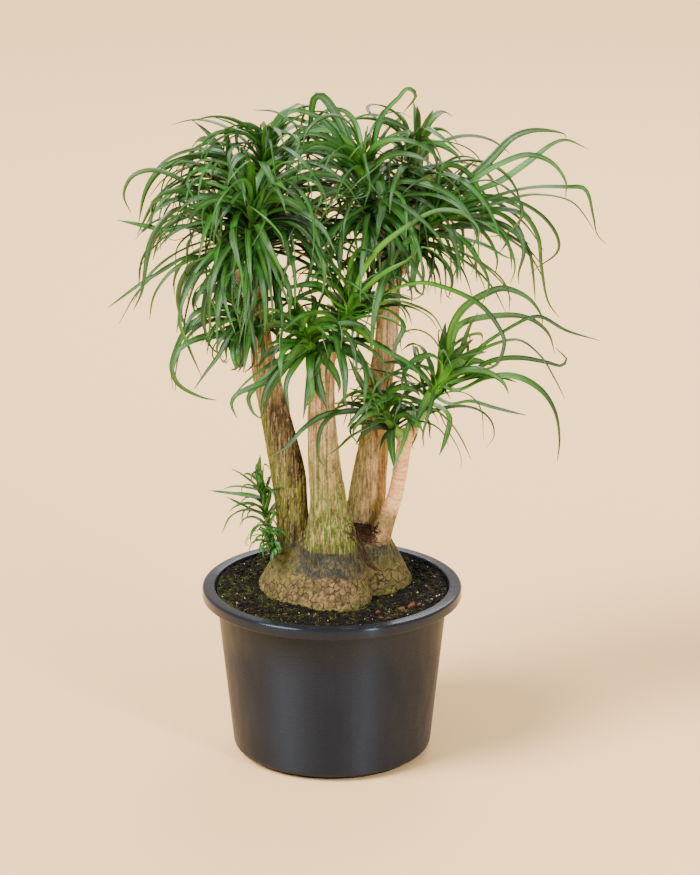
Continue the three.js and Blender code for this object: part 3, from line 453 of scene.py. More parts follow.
def rough_noise(points, seed, octaves=3):
    total = np.zeros(len(points))
    size = 0.0
    for octave in range(octaves):
        share = 0.55 ** octave
        total += share * smooth_noise(points * 2 ** octave + 7.3 * octave, seed + octave)
        size += share
    return total / size


def plates(points, seed, scatter=1.0):
    """Distance from the cracks between random plates, and a random number for each plate. Less scatter makes
    the plates more alike and squarer."""
    cell = np.floor(points)
    nearest = np.full(len(points), 9.0)
    second = np.full(len(points), 9.0)
    plate = np.zeros(len(points))
    for offset in np.ndindex(3, 3, 3):
        home = cell + np.array(offset) - 1
        spot = np.stack([lattice(home, seed + axis) for axis in range(3)], axis=1)
        centre = home + 0.5 + scatter * (spot - 0.5)
        away = np.linalg.norm(points - centre, axis=1)
        closer = away < nearest
        second = np.where(closer, nearest, np.minimum(second, away))
        plate = np.where(closer, lattice(home, seed + 5), plate)
        nearest = np.where(closer, away, nearest)
    return second - nearest, plate


# Meshes

def add_object(name, data):
    """Object of its data, linked to the scene."""
    made = bpy.data.objects.new(name, data)
    bpy.context.scene.collection.objects.link(made)
    return made


def add_mesh(name, points, faces):
    """Object of a new mesh from points in millimetres."""
    mesh = bpy.data.meshes.new(name)
    mesh.from_pydata((np.asarray(points) * MM).tolist(), [], faces)
    return add_object(name, mesh)


def make_piece(name, points, faces, finish, smooth=True, nodes=(), values=None):
    """Object of the plant from points in millimetres. values holds a number or colour for each point."""
    piece = add_mesh(name, points, faces)
    mesh = piece.data
    mesh.polygons.foreach_set("use_smooth", [smooth] * len(mesh.polygons))
    for key, value in (values or {}).items():
        value = np.asarray(value, dtype=np.float32)
        if value.ndim == 1:
            mesh.attributes.new(key, "FLOAT", "POINT").data.foreach_set("value", value)
        else:
            colour = np.ones((len(value), 4), dtype=np.float32)
            colour[:, :3] = value
            mesh.attributes.new(key, "FLOAT_COLOR", "POINT").data.foreach_set("color", colour.ravel())
    mesh.update()
    mesh.materials.append(finish)
    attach(piece, BODY)
    if nodes:
        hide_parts(*nodes)


def numbered_on(points, faces):
    """Faces of a new block of points, numbered on from the blocks that points already holds."""
    first = sum(len(block) for block in points)
    return [tuple(first + corner for corner in face) for face in faces]


def grid_faces(rows, columns):
    """Four-sided faces of a tube of rows of points, closed round each row."""
    faces = []
    for low in range(0, (rows - 1) * columns, columns):
        high = low + columns
        for column in range(columns):
            after = (column + 1) % columns
            faces.append((low + column, low + after, high + after, high + column))
    return faces


def tube_faces(rows, columns):
    """Faces of a tube and of its two flat ends."""
    last = (rows - 1) * columns
    return grid_faces(rows, columns) + [tuple(reversed(range(columns))), tuple(range(last, last + columns))]


def round_row(radius, z, sides):
    """Row of points round the upright axis."""
    angles = np.arange(sides) / sides * 2 * math.pi
    return np.stack([radius * np.cos(angles), radius * np.sin(angles), np.full(sides, z)], axis=1)


def turned_body(rows, first_z, last_z):
    """Points and faces of round rows, closed by a point on the axis before the first and after the last."""
    sides = len(rows[0])
    points = np.vstack(rows + [[[0, 0, first_z]], [[0, 0, last_z]]])
    faces = grid_faces(len(rows), sides)
    start, end = len(points) - 2, len(points) - 1
    last = (len(rows) - 1) * sides
    for i in range(sides):
        after = (i + 1) % sides
        faces += [(start, after, i), (end, last + i, last + after)]
    return points, faces


# Curves

def spline(knots, spacing):
    """Even stations on a centripetal curve through knots, their places among the knots, and its length."""
    row = np.vstack([2 * knots[0] - knots[1], knots, 2 * knots[-1] - knots[-2]])
    strides = np.linalg.norm(np.diff(row[:, :3], axis=0), axis=1)
    time = np.concatenate([[0], np.cumsum(np.sqrt(np.maximum(strides, LEAST_STRIDE)))])
    dense, place = [], []
    for k in range(1, len(row) - 2):
        t = np.linspace(time[k], time[k + 1], SPLINE_STEPS + 1)[:, None]
        p, q = list(row[k - 1:k + 3]), time[k - 1:k + 3]
        for order in (1, 2):
            p = [((q[i + order] - t) * p[i] + (t - q[i]) * p[i + 1]) / (q[i + order] - q[i])
                 for i in range(len(p) - 1)]
        span = ((q[2] - t) * p[0] + (t - q[1]) * p[1]) / (q[2] - q[1])
        last = SPLINE_STEPS + 1 if k == len(row) - 3 else SPLINE_STEPS
        dense.append(span[:last])
        place.append(k - 1 + np.linspace(0, 1, SPLINE_STEPS + 1)[:last])
    dense, place = np.vstack(dense), np.concatenate(place)
    run = np.concatenate([[0], np.cumsum(np.linalg.norm(np.diff(dense[:, :3], axis=0), axis=1))])
    even = np.linspace(0, run[-1], max(LEAST_STATIONS, int(run[-1] / spacing) + 1))
    stations = np.stack([np.interp(even, run, column) for column in dense.T], axis=1)
    return stations, np.interp(even, run, place), run[-1]


def unit(vectors):
    return vectors / np.maximum(np.linalg.norm(vectors, axis=-1, keepdims=True), 1e-9)


def directions(points):
    """Direction of a row of points at each of them."""
    ahead = np.vstack([points[1:], points[-1:]])
    behind = np.vstack([points[:1], points[:-1]])
    return unit(ahead - behind)


def carried_ups(points, first_up):
    """Upper side at each point, carried along the row without turning about it."""
    ups = []
    up = np.asarray(first_up, dtype=float)
    for along in directions(points):
        up = unit(up - along * up.dot(along))
        ups.append(up)
    return np.array(ups)


# Leaves

def core_ends(head):
    """Foot and tip of the core of a head."""
    return seen(*head.foot), seen(*head.tip)


def hand_knots(head, leaf, attempt):
    """Knots and width of a leaf that is listed one by one."""
    tip_depth, width, *flat = leaf
    places = list(zip(flat[::2], flat[1::2]))
    (x, y), (foot_x, foot_y) = places[0], head.foot[:2]
    span_x, span_y = head.tip[0] - foot_x, head.tip[1] - foot_y
    nearest = ((x - foot_x) * span_x + (y - foot_y) * span_y) / (span_x ** 2 + span_y ** 2)
    share = min(max(nearest, CORE_LOW), CORE_HIGH)
    root = [mix(a, b, share) for a, b in zip(head.foot, head.tip)]
    caught = math.hypot(x - root[0], y - root[1]) < ROOT_CATCH
    row = [(root[0], root[1])] + (places[1:] if caught else places)
    run = np.concatenate([[0], np.cumsum([math.dist(a, b) for a, b in zip(row, row[1:])])])
    depth = root[2] + (tip_depth + TRY_DEPTHS[attempt]) * (run / run[-1]) ** EARLY_DEPTH
    return np.array([seen(across, up, behind) for (across, up), behind in zip(row, depth)]), width


def walked_knots(root, reach, steps, pitch_at, heading_at):
    """Knots from a root outwards, where pitch and heading change with the share of the way."""
    knots = [root]
    for i in range(steps):
        way = (i + 0.5) / steps
        pitch, heading = pitch_at(way), heading_at(way)
        level = math.cos(pitch)
        course = np.array([level * math.cos(heading), level * math.sin(heading), math.sin(pitch)])
        knots.append(knots[-1] + course * reach / steps)
    return np.array(knots)


def rule_knots(head, index, draws, attempt):
    """Knots and width of the index-th leaf of the head's spiral."""
    rule = head.rule
    age = (index + 0.5) / rule.count
    root = mix(*core_ends(head), mix(CORE_LOW, CORE_HIGH, age))
    turn = (draws[0] - 0.5) * TURN_SPREAD
    azimuth = index * GOLDEN_ANGLE + head.stem + turn + math.radians(TRY_TURNS[attempt])
    start_pitch = math.radians(mix(*rule.rise, age) + (draws[1] - 0.5) * RISE_SPREAD)
    end_pitch = math.radians(mix(*rule.fall, age) + (draws[2] - 0.5) * FALL_SPREAD)
    reach = rule.length * mix(OLD_REACH, YOUNG_REACH, age) * (LEAST_REACH + REACH_SPREAD * draws[3])
    drift = (draws[4] - 0.5) * DRIFT_SPREAD
    steps = LONG_STEPS if rule.length > LONG_RULE else SHORT_STEPS
    knots = walked_knots(root, reach, steps, lambda way: mix(start_pitch, end_pitch, way ** LATE_BEND),
                         lambda way: azimuth + drift * way)
    return knots, RULE_WIDTH * slimness(head) * (LEAST_WIDTH + WIDTH_SPREAD * draws[5])


def arching_knots(head, number, count, lift, draw, front=0.0):
    """Knots and width of a long drooping leaf that fills the head out; the lowest hang the most."""
    age = (number + draw()) / count
    azimuth = number * GOLDEN_ANGLE + head.stem * ARCH_TURN + swing(draw, ARCH_TURN_SPREAD)
    if front:
        azimuth = math.radians(FRONT_HEADING + swing(draw, FRONT_SPREAD))
        age *= FRONT_AGE
        lift -= FRONT_DROOP
    start_pitch = math.radians(mix(*ARCH_RISE, age ** ARCH_RISE_BEND) + lift + swing(draw, ARCH_RISE_SPREAD))
    curl_under, shortness = CURLED_SHOOT.get(head.name, (0, 1))
    end_pitch = math.radians(mix(*ARCH_FALL, age) + lift - curl_under + swing(draw, ARCH_FALL_SPREAD))
    reach = head.rule.length * (front or shortness) * mix(*ARCH_REACH, age) * grown(draw, *ARCH_REACH_DRAW)
    manner = WILD if draw() < WILD_SHARE else PLAIN
    drift = swing(draw, manner.drift)
    curl = swing(draw, manner.curl)
    hook = math.radians(manner.hook) * max(draw() - manner.hook_from, 0)
    bend = grown(draw, *ARCH_BEND_DRAW)
    knots = walked_knots(
        mix(*core_ends(head), mix(*ARCH_ROOT, age)), reach, ARCH_STEPS,
        lambda way: mix(start_pitch, end_pitch, way ** bend) - hook * way ** CURL_POWER,
        lambda way: azimuth + drift * way + curl * way ** CURL_POWER)
    return knots, RULE_WIDTH * slimness(head) * grown(draw, *ARCH_WIDTH_DRAW) * manner.width


def slimness(head):
    """Share of the full leaf width that the short leaves of a small shoot have."""
    return min(1.0, head.rule.length / SLIM_BELOW)


def heart_knots(head, draw, bright):
    """Knots and width of a short young leaf at the top of the core."""
    foot, tip = core_ends(head)
    axis = unit(tip - foot)
    heading = draw() * 2 * math.pi
    lean = grown(draw, *HEART_LEAN_DRAW)
    reach = head.rule.length * grown(draw, *HEART_REACH_DRAW) * (1 + BRIGHT_REACH * bright)
    sideways = np.array([math.cos(heading), math.sin(heading), 0.0])
    knots = [mix(foot, tip, HEART_ROOT)]
    for outward, rise in HEART_COURSE:
        course = unit(axis + sideways * lean * outward + np.array([0, 0, rise]))
        knots.append(knots[-1] + course * reach / len(HEART_COURSE))
    width = RULE_WIDTH * slimness(head) * grown(draw, *HEART_WIDTH_DRAW) * (1 + BRIGHT_WIDTH * bright)
    return np.array(knots), width


def blade(knots, width, twist, axis, wave):
    """Points and faces of a thin channelled strap along the knots, and where its points lie on the leaf."""
    if len(knots) == 2:
        knots = np.array([knots[0], knots.mean(axis=0), knots[1]])
    ups = carried_ups(knots, axis)
    path, place, length = spline(knots, BLADE_SPACING)
    along = directions(path)
    upper = np.stack([np.interp(place, range(len(ups)), column) for column in ups.T], axis=1)
    upper = unit(upper - along * np.sum(upper * along, axis=1, keepdims=True))
    way = np.linspace(0, 1, len(path))
    turn = (twist * way + wave[0] * np.sin(way * WAVE_TURNS + wave[1]))[:, None]
    upper = upper * np.cos(turn) + np.cross(along, upper) * np.sin(turn)
    side = np.cross(along, upper)
    flare = 1 + SHEATH_FLARE * np.exp(-way * length / SHEATH_REACH)
    broad = width * flare * np.interp(way, *BLADE_SHAPE)
    half = np.maximum(broad / 2, LEAST_HALF)[:, None]
    thick = np.minimum(BLADE_THICKNESS, TIP_THICKNESS + half * WIDTH_THICKNESS)
    rows = []
    for across, rise, below in BLADE_RING:
        height = (rise - 1) * BLADE_CHANNEL * half * 2 - below * thick
        rows.append(path + side * (across * half) + upper * height)
    count = len(BLADE_RING)
    return np.stack(rows, axis=1).reshape(-1, 3), tube_faces(len(path), count), {
        "along": np.repeat(way, count),
        "across": np.tile([spot[0] for spot in BLADE_RING], len(path)),
        "under": np.tile([float(spot[2] > 0) for spot in BLADE_RING], len(path)),
    }


def tip_finder(node):
    """Tells whether a place is a corner of a CAD node."""
    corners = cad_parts[node].data.vertices
    tree = kdtree.KDTree(len(corners))
    for i, corner in enumerate(corners):
        tree.insert(corner.co, i)
    tree.balance()
    return lambda place: tree.find(Vector(place * MM))[2] < TIP_MATCH * MM


def trunk_knots(stations):
    """Middle of a trunk and its radius at each station."""
    return np.array([np.append(seen(*station[:3]), station[3]) for station in stations])


def trunk_samples():
    """Points and radii along all trunks and branches, for keeping extra leaves clear of the wood."""
    samples = [spline(trunk_knots(stations), SAMPLE_SPACING)[0] for stations in TRUNKS]
    for head in HEADS:
        start, end = seen(*head.start), seen(*head.foot)
        for share in BRANCH_SAMPLES:
            samples.append(np.append(mix(start, end, share), head.stem)[None, :])
    return np.vstack(samples)


def clear_of_wood(path, wood):
    """Whether a leaf keeps clear of the wood beyond its first two knots."""
    away = np.linalg.norm(path[2:, None, :] - wood[None, :, :3], axis=2) - wood[None, :, 3]
    return away.min() > WOOD_CLEARANCE


def fits_room(path):
    """Whether a leaf stays inside the box that the CAD leaves take up."""
    return (path > LEAF_ROOM[0]).all() and (path < LEAF_ROOM[1]).all()


def fits_canopy(path):
    """Whether a leaf shows wholly inside the canopy's outline from the front."""
    reach = 1 - path[:, 1] / EYE[1]
    across = EYE[0] + (path[:, 0] - EYE[0]) / reach
    up = EYE[2] + (path[:, 2] - EYE[2]) / reach
    inside = np.zeros(len(path), dtype=bool)
    for (a, b), (c, d) in zip(CANOPY, CANOPY[1:] + CANOPY[:1]):
        if b != d:
            inside ^= ((b > up) != (d > up)) & (across < a + (up - b) / (d - b) * (c - a))
    return inside.all()


def core_tube(head):
    """Points and faces of the green core of packed leaf bases."""
    foot, tip = core_ends(head)
    shares, thickness = np.array(CORE_SHAPE).T
    path = np.array([mix(foot + unit(tip - foot) * GAP, tip, share) for share in shares])
    ups = carried_ups(path, BRANCH_UP)
    sides = np.cross(directions(path), ups)
    angles = np.arange(CORE_SIDES) / CORE_SIDES * 2 * math.pi
    rows = [centre + radius * (np.cos(angles)[:, None] * up + np.sin(angles)[:, None] * side)
            * (1 + CORE_RIB_HEIGHT * np.cos(CORE_RIBS * angles + 2 * i))[:, None]
            for i, (centre, radius, side, up) in enumerate(zip(path, head.stem * thickness, sides, ups))]
    return np.concatenate(rows), tube_faces(len(path), CORE_SIDES)


def make_head(order, head, finish, wood):
    """One leaf head as one piece: its core, every leaf of the CAD node in finer form, and leaves between."""
    bright = BRIGHT_HEARTS.get(head.name, PLAIN_HEART)
    draw = make_draw(977 * order + 31)
    extra = make_draw(613 * order + 7)
    foot, tip = core_ends(head)
    axis = unit(tip - foot)
    is_tip = tip_finder(head.name)
    core, faces = core_tube(head)
    points = [core]
    values = {key: [np.full(len(core), value)] for key, value in CORE_VALUES.items()}
    values["young"] = [np.full(len(core), bright * CORE_YOUNG)]

    def add(knots, width, twist, young):
        wave = (swing(extra, WAVE_SIZE), WAVE_STARTS * extra())
        made, sides, places = blade(knots, width * BLADE_SWELL, twist, axis, wave)
        faces.extend(numbered_on(points, sides))
        points.append(made)
        places["tone"] = np.full(len(made), extra())
        places["young"] = np.full(len(made), young)
        for key, block in places.items():
            values[key].append(block)

    def add_found(make, young):
        """Adds the leaf at the try that the CAD node holds; a leaf that it left out stays out."""
        twist = swing(draw, BLADE_TWIST)
        for attempt in range(len(TRY_DEPTHS)):
            knots, width = make(attempt)
            if is_tip(knots[-1]):
                add(knots, width, twist, young)
                return

    young = max(0.0, HAND_YOUNG * bright - PLAIN_YOUNG)
    for leaf in head.leaves:
        add_found(lambda attempt: hand_knots(head, leaf, attempt), young)
    count = head.rule.count
    for index in range(count):
        draws = [draw() for _ in range(RULE_DRAWS)]
        add_found(lambda attempt: rule_knots(head, index, draws, attempt), bright * index / count)
    fill, lift = FILLING[head.name]
    front, front_reach = FRONT_LEAVES.get(head.name, (0, 0.0))
    in_canopy = head.name[-1] in CANOPY_HEADS
    for number in range(fill + front):
        for _ in range(CANOPY_TRIES):
            share = front_reach if number >= fill else 0.0
            knots, width = arching_knots(head, number % fill, fill, lift, extra, share)
            if clear_of_wood(knots, wood) and fits_room(knots) and (fits_canopy(knots) or not in_canopy):
                twist = swing(extra, BLADE_TWIST) * ARCH_TWIST
                add(knots, width, twist, bright * (number % fill / fill) ** 2)
                break
    for _ in range(HEART_LEAVES):
        knots, width = heart_knots(head, extra, bright)
        add(knots, width, swing(extra, HEART_TWIST), bright)
    values = {key: np.concatenate(blocks) for key, blocks in values.items()}
    make_piece("foliage_" + head.name.split("_")[1], np.concatenate(points), faces, finish,
               nodes=[head.name], values=values)


# Finishes

class Finish:
    """A node material round one Principled shader."""

    def __init__(self, name, roughness, specular=0.5):
        self.material = bpy.data.materials.new(name)
        self.material.use_nodes = True
        self.tree = self.material.node_tree
        self.shader = self.tree.nodes["Principled BSDF"]
        self.use(Roughness=roughness, Specular_IOR_Level=specular)

    def put(self, socket, value):
        """Links another socket to this one, or sets its number or colour."""
        if isinstance(value, bpy.types.NodeSocket):
            self.tree.links.new(value, socket)
        elif isinstance(value, (int, float)):
            socket.default_value = value
        else:
            socket.default_value = [*value, 1.0] if len(socket.default_value) == 4 else list(value)

    def node(self, kind, output=0, settings=None, **inputs):
        """Output of a new node. An input is called by its name, or by its number after an underscore."""
        made = self.tree.nodes.new(kind)
        for key, value in (settings or {}).items():
            setattr(made, key, value)
        for key, value in inputs.items():
            self.put(made.inputs[int(key[1:]) if key[1:].isdigit() else key.replace("_", " ")], value)
        return made.outputs[output]

    def value(self, name):
        return self.node("ShaderNodeAttribute", "Fac", {"attribute_name": name})

    def colour(self, name):
        return self.node("ShaderNodeAttribute", "Color", {"attribute_name": name})

    def math(self, operation, *values, clamp=False):
        return self.node("ShaderNodeMath", 0, {"operation": operation, "use_clamp": clamp},
                         **{f"_{i}": value for i, value in enumerate(values)})

    def blend(self, share, a, b, way="MIX"):
        """Colour a where share is 0 and b where it is 1."""
        return self.node("ShaderNodeMix", 2, {"data_type": "RGBA", "blend_type": way}, _0=share, _6=a, _7=b)

    def multiplied(self, a, b):
        return self.blend(1.0, a, b, "MULTIPLY")

    def scaled(self, *scale):
        """Object coordinates, stretched."""
        place = self.node("ShaderNodeTexCoord", "Object")
        return self.node("ShaderNodeMapping", 0, Vector=place, Scale=scale)

    def noise(self, scale, detail=3.0, rough=0.55, stretch=(1, 1, 1)):
        place = self.scaled(*stretch)
        return self.node("ShaderNodeTexNoise", "Fac", Vector=place, Scale=scale, Detail=detail,
                         Roughness=rough)

    def spread(self, value, low, high, new_low=0.0, new_high=1.0):
        """Value carried from one range to another, and kept inside it."""
        return self.node("ShaderNodeMapRange", 0, None, _0=value, _1=low, _2=high, _3=new_low, _4=new_high)

    def relief(self, height, distance, strength=1.0):
        bump = self.node("ShaderNodeBump", 0, None, Height=height, Distance=distance, Strength=strength)
        self.use(Normal=bump)

    def use(self, **inputs):
        """The material, once the named inputs of its shader are set."""
        for key, value in inputs.items():
            self.put(self.shader.inputs[key.replace("_", " ")], value)
        return self.material


def leaf_finish():
    """Glossy green blade with parallel veins, pale midrib, yellow-green young base and a dry tip."""
    finish = Finish("leaf_green", 0.34, 0.6)
    across, along = finish.value("across"), finish.value("along")
    green = finish.blend(finish.value("tone"), srgb(10, 56, 14), srgb(44, 116, 30))
    green = finish.blend(finish.spread(finish.noise(38), 0.4, 0.75), green, srgb(7, 42, 12))
    veins = finish.math("SINE", finish.math("MULTIPLY", across, 34.0))
    midrib = finish.spread(finish.math("ABSOLUTE", across), 0.0, 0.3, 0.26, 0.0)
    for share in (finish.spread(veins, -1, 1, 0, 0.14), midrib):
        green = finish.blend(share, green, srgb(120, 170, 80))
    green = finish.blend(finish.math("MULTIPLY", finish.value("under"), 0.4), green, srgb(62, 108, 48))
    base = finish.spread(along, 0.0, 0.64, 1.0, 0.0)
    young = finish.math("MULTIPLY", base, finish.value("young"), clamp=True)
    green = finish.blend(young, green, srgb(112, 190, 46))
    green = finish.blend(finish.spread(along, 0.985, 1.0), green, srgb(108, 98, 52))
    finish.relief(veins, 0.0003, 0.35)
    return finish.use(Base_Color=green, Specular_Tint=(0.8, 0.95, 1.0))


def bark_finish():
    """Corky bark: colour is painted on the relief, with fine fibre and grain over it."""
    finish = Finish("bark", 0.82, 0.3)
    upright, paint = finish.value("upright"), finish.colour("paint")
    fibre = finish.noise(420, 3, 0.55, (1, 1, 0.06))
    grain = finish.noise(420, 4, 0.65)
    streak = finish.math("MULTIPLY", finish.spread(fibre, 0.47, 0.40, 0, 0.66), upright)
    colour = finish.blend(streak, paint, finish.multiplied(paint, (0.36, 0.32, 0.24)))
    seam = finish.spread(finish.noise(190, 3, 0.6, (1, 1, 0.05)), 0.46, 0.4, 0, 0.62)
    seam = finish.math("MULTIPLY", seam, upright)
    colour = finish.blend(seam, colour, finish.multiplied(paint, (0.34, 0.33, 0.22)))
    pale = finish.math("MULTIPLY", finish.spread(fibre, 0.55, 0.66, 0, 0.34), upright)
    colour = finish.blend(pale, colour, srgb(222, 200, 156))
    pits = finish.spread(grain, 0.5, 0.36, 0, 0.5)
    colour = finish.blend(pits, colour, finish.multiplied(colour, (0.45, 0.4, 0.33)))
    place = finish.scaled(1, 1, 0.85)
    bent = finish.node("ShaderNodeVectorMath", 0, {"operation": "MULTIPLY_ADD"},
                       _0=finish.node("ShaderNodeTexNoise", "Color", Vector=place, Scale=70.0, Detail=2.0),
                       _1=(0.012, 0.012, 0.012), _2=place)
    edge = finish.node("ShaderNodeTexVoronoi", "Distance", {"feature": "DISTANCE_TO_EDGE"},
                       Vector=bent, Scale=92.0, Randomness=0.85)
    broken = finish.spread(finish.noise(70, 2), 0.36, 0.52)
    crack = finish.math("MULTIPLY", finish.spread(edge, 0.075, 0.025), broken)
    crack = finish.math("MULTIPLY", crack, finish.value("cracked"))
    colour = finish.blend(finish.math("MULTIPLY", crack, 0.9), colour, srgb(36, 32, 16))
    height = finish.math("ADD", finish.math("MULTIPLY", fibre, upright), grain)
    height = finish.math("SUBTRACT", height, seam)
    finish.relief(finish.math("SUBTRACT", height, crack), 0.0013, 0.7)
    return finish.use(Base_Color=colour)


def soil_finish(name="soil", roughness=0.93):
    """Painted soil or loose matter with dark grain."""
    finish = Finish(name, roughness, 0.25)
    grain, paint = finish.noise(520, 4, 0.65), finish.colour("paint")
    colour = finish.blend(finish.spread(grain, 0.35, 0.75, 0, 0.6), paint,
                          finish.multiplied(paint, (0.35, 0.33, 0.3)))
    finish.relief(grain, 0.0016, 0.9)
    return finish.use(Base_Color=colour)


def pot_finish():
    """Charcoal moulded plastic with faint turned lines, and the tall soft sheen that such lines give."""
    finish = Finish("charcoal_plastic", 0.5, 0.4)
    around = finish.node("ShaderNodeTangent", 0, {"direction_type": "RADIAL", "axis": "Z"})
    rings = finish.noise(620, 3, 0.6, (0.012, 0.012, 1))
    haze = finish.noise(9, 3, 0.5)
    colour = finish.blend(finish.spread(haze, 0.3, 0.75), srgb(17, 20, 31), srgb(24, 27, 39))
    rough = finish.spread(finish.noise(60, 3, 0.5, (1, 1, 0.3)), 0.3, 0.7, 0.46, 0.54)
    up = finish.node("ShaderNodeSeparateXYZ", "Z", Vector=finish.node("ShaderNodeTexCoord", "Object"))
    on_rim = finish.spread(up, (RIM_TOP - RIM_BAND - 1) * MM, (RIM_TOP - RIM_BAND) * MM)
    rough = finish.math("SUBTRACT", rough, finish.math("MULTIPLY", on_rim, 0.24))
    finish.relief(finish.math("MULTIPLY", rings, finish.math("SUBTRACT", 1.0, on_rim)), 0.0005, 1.0)
    return finish.use(Base_Color=colour, Roughness=rough, Specular_Tint=(0.53, 0.7, 0.94), Anisotropic=0.9,
                      Anisotropic_Rotation=0.25, Tangent=around)


# Woody body

WOOD_VOXEL = 1.5
SKIN_SMOOTHING = 4
# Levels at which the skin is parted into pieces of a workable size
WOOD_PARTINGS = [352.0, 500.0]
WOOD_SIDES = 72
WOOD_SPACING = 9.0
STEM_SPACING = 8.0
TRUNK_UP = (0, 1, 0)
TRUNK_TURNS = [0.4, 1.1, 2.3, 0]
TRUNK_FLUTES = [0.07, 0.05, 0.07, 0.02]
BRANCH_UP = (0.3, 1, 0.1)
BRANCH_STRAIGHT = 30
BRANCH_STRAIGHT_SHARE = 0.35
BRANCH_SWELL = (1.15, 1.05, 1)
# Stations at the start of a branch that lie inside its trunk
BRANCH_BURIED = 4

# Stems by number, and the level from which the wood of each is young; the last two have a bark of their own
LEFT, FRONT, RIGHT_BACK, THIN, BRANCH = range(5)
YOUNG_FROM = [520, 470, 500, math.inf, math.inf]
YOUNG_BLEND = 120
# Levels between which one kind of bark or growth gives way to the next
MOSS_LINE = (258, 269)
FLANK_FOOT = (262, 275)
BAND_FOOT = (301, 308)
LITTER_FOOT = (318, 330)
TRUNK_FOOT = (336, 348)
FRONT_FOOT = (339, 344)
LITTER_TOP = (365, 385)
GREEN_FOOT = (372, 436)
RINGS_FOOT = (372, 402)
ALGAE_TOP = (420, 560)


def base_radius(angle, share):
    """Radius of the swollen base towards angles, at a share from soil to trunks."""
    count = len(BASE_AT_SOIL)
    place = (angle / (2 * math.pi)) % 1 * count
    first = np.floor(place).astype(int)
    t = place - first

    def at(radii):
        p = [np.array(radii)[(first + step) % count] for step in (-1, 0, 1, 2)]
        return p[1] + 0.5 * t * (p[2] - p[0] + t * (2 * p[0] - 5 * p[1] + 4 * p[2] - p[3]
                                                    + t * (3 * (p[1] - p[2]) + p[3] - p[0])))
    return mix(at(BASE_AT_SOIL), at(BASE_AT_TRUNKS), share)


def shoulder(z):
    """Share of the way from the base's outline at the soil to its outline under the trunks."""
    return np.clip((z - SOIL_TOP - BASE_FLARE) / (BASE_SHOULDER - SOIL_TOP - BASE_FLARE), 0, 1)


def base_rings():
    """Rings of the swollen base from its buried foot to its cap."""
    levels = np.array(BASE_LEVELS)
    angles = np.arange(WOOD_SIDES) / WOOD_SIDES * 2 * math.pi
    for z in [*np.arange(BASE_BOTTOM, BASE_CAP - BASE_SPACING / 2, BASE_SPACING), BASE_CAP]:
        radius = base_radius(angles, shoulder(z)) * np.interp(z, levels[:, 0], levels[:, 1])
        yield np.stack([BASE_CENTRE[0] + radius * np.cos(angles), BASE_CENTRE[1] + radius * np.sin(angles),
                        np.full(WOOD_SIDES, z)], axis=1)


def tube_rings(path, first_up, turn=0.0, flute=0.0, place=0.0):
    """Rings of a fluted tube round a row of middles with radii; the flutes wander with their place."""
    angles = -np.arange(WOOD_SIDES) / WOOD_SIDES * 2 * math.pi
    spine = path[:, :3]
    ups = carried_ups(spine, first_up)
    sides = np.cross(directions(spine), ups)
    stations = np.broadcast_to(place, len(path))
    for centre, radius, side, up, station in zip(spine, path[:, 3], sides, ups, stations):
        wave = 1 + flute * (np.cos(3 * angles + turn + station * 0.25) + 0.6 * np.cos(5 * angles - 2 * turn))
        outward = np.cos(angles)[:, None] * side + np.sin(angles)[:, None] * up
        yield centre + (radius * wave)[:, None] * outward


def branch_spine(head):
    """Middle and radius of a branch at even stations from inside its trunk to its cut end."""
    start, (end, tip) = seen(*head.start), core_ends(head)
    straight = min(BRANCH_STRAIGHT, np.linalg.norm(end - start) * BRANCH_STRAIGHT_SHARE)
    places = (start, end - unit(tip - end) * straight, end)
    knots = np.array([np.append(place, head.stem * swell) for place, swell in zip(places, BRANCH_SWELL)])
    return spline(knots, WOOD_SPACING / 2)[0]


def joined_wood():
    """Corners, normals and faces of one even skin round the base, the trunks and the branch ends."""
    points, faces = [], []

    def add(rings):
        rings = list(rings)
        faces.extend(numbered_on(points, tube_faces(len(rings), WOOD_SIDES)))
        points.extend(rings)

    add(base_rings())
    for stations, turn, flute in zip(TRUNKS, TRUNK_TURNS, TRUNK_FLUTES):
        path, place, _ = spline(trunk_knots(stations), WOOD_SPACING)
        add(tube_rings(path, TRUNK_UP, turn, flute, place))
    for head in HEADS:
        add(tube_rings(branch_spine(head), BRANCH_UP))
    rough = add_mesh("wood_rough", np.vstack(points), faces)
    remesh = rough.modifiers.new("skin", "REMESH")
    remesh.mode = "VOXEL"
    remesh.voxel_size = WOOD_VOXEL * MM
    even = rough.modifiers.new("even", "CORRECTIVE_SMOOTH")
    even.iterations = SKIN_SMOOTHING
    even.use_only_smooth = True
    skin = bpy.data.meshes.new_from_object(rough.evaluated_get(bpy.context.evaluated_depsgraph_get()))
    places, normals = np.empty(len(skin.vertices) * 3), np.empty(len(skin.vertices) * 3)
    skin.vertices.foreach_get("co", places)
    skin.vertex_normals.foreach_get("vector", normals)
    sides = [tuple(polygon.vertices) for polygon in skin.polygons]
    bpy.data.objects.remove(rough)
    bpy.data.meshes.remove(skin)
    return places.reshape(-1, 3) / MM, normals.reshape(-1, 3), sides


def nearest_stem(points):
    """For each point, the number of the trunk whose wood is nearest, or BRANCH for a branch end."""
    best = np.full(len(points), np.inf)
    which = np.zeros(len(points), dtype=int)
    spines = [spline(trunk_knots(stations), STEM_SPACING)[0] for stations in TRUNKS]
    spines.append(np.vstack([branch_spine(head)[BRANCH_BURIED:] for head in HEADS]))
    for number, spine in enumerate(spines):
        for station in spine:
            away = np.linalg.norm(points - station[:3], axis=1) - station[3]
            closer = away < best
            best[closer] = away[closer]
            which[closer] = number
    return which


def tint(paint, colour, share):
    """Paint of each point, mixed with a colour by the point's share."""
    return mix(paint, colour, share[:, None])


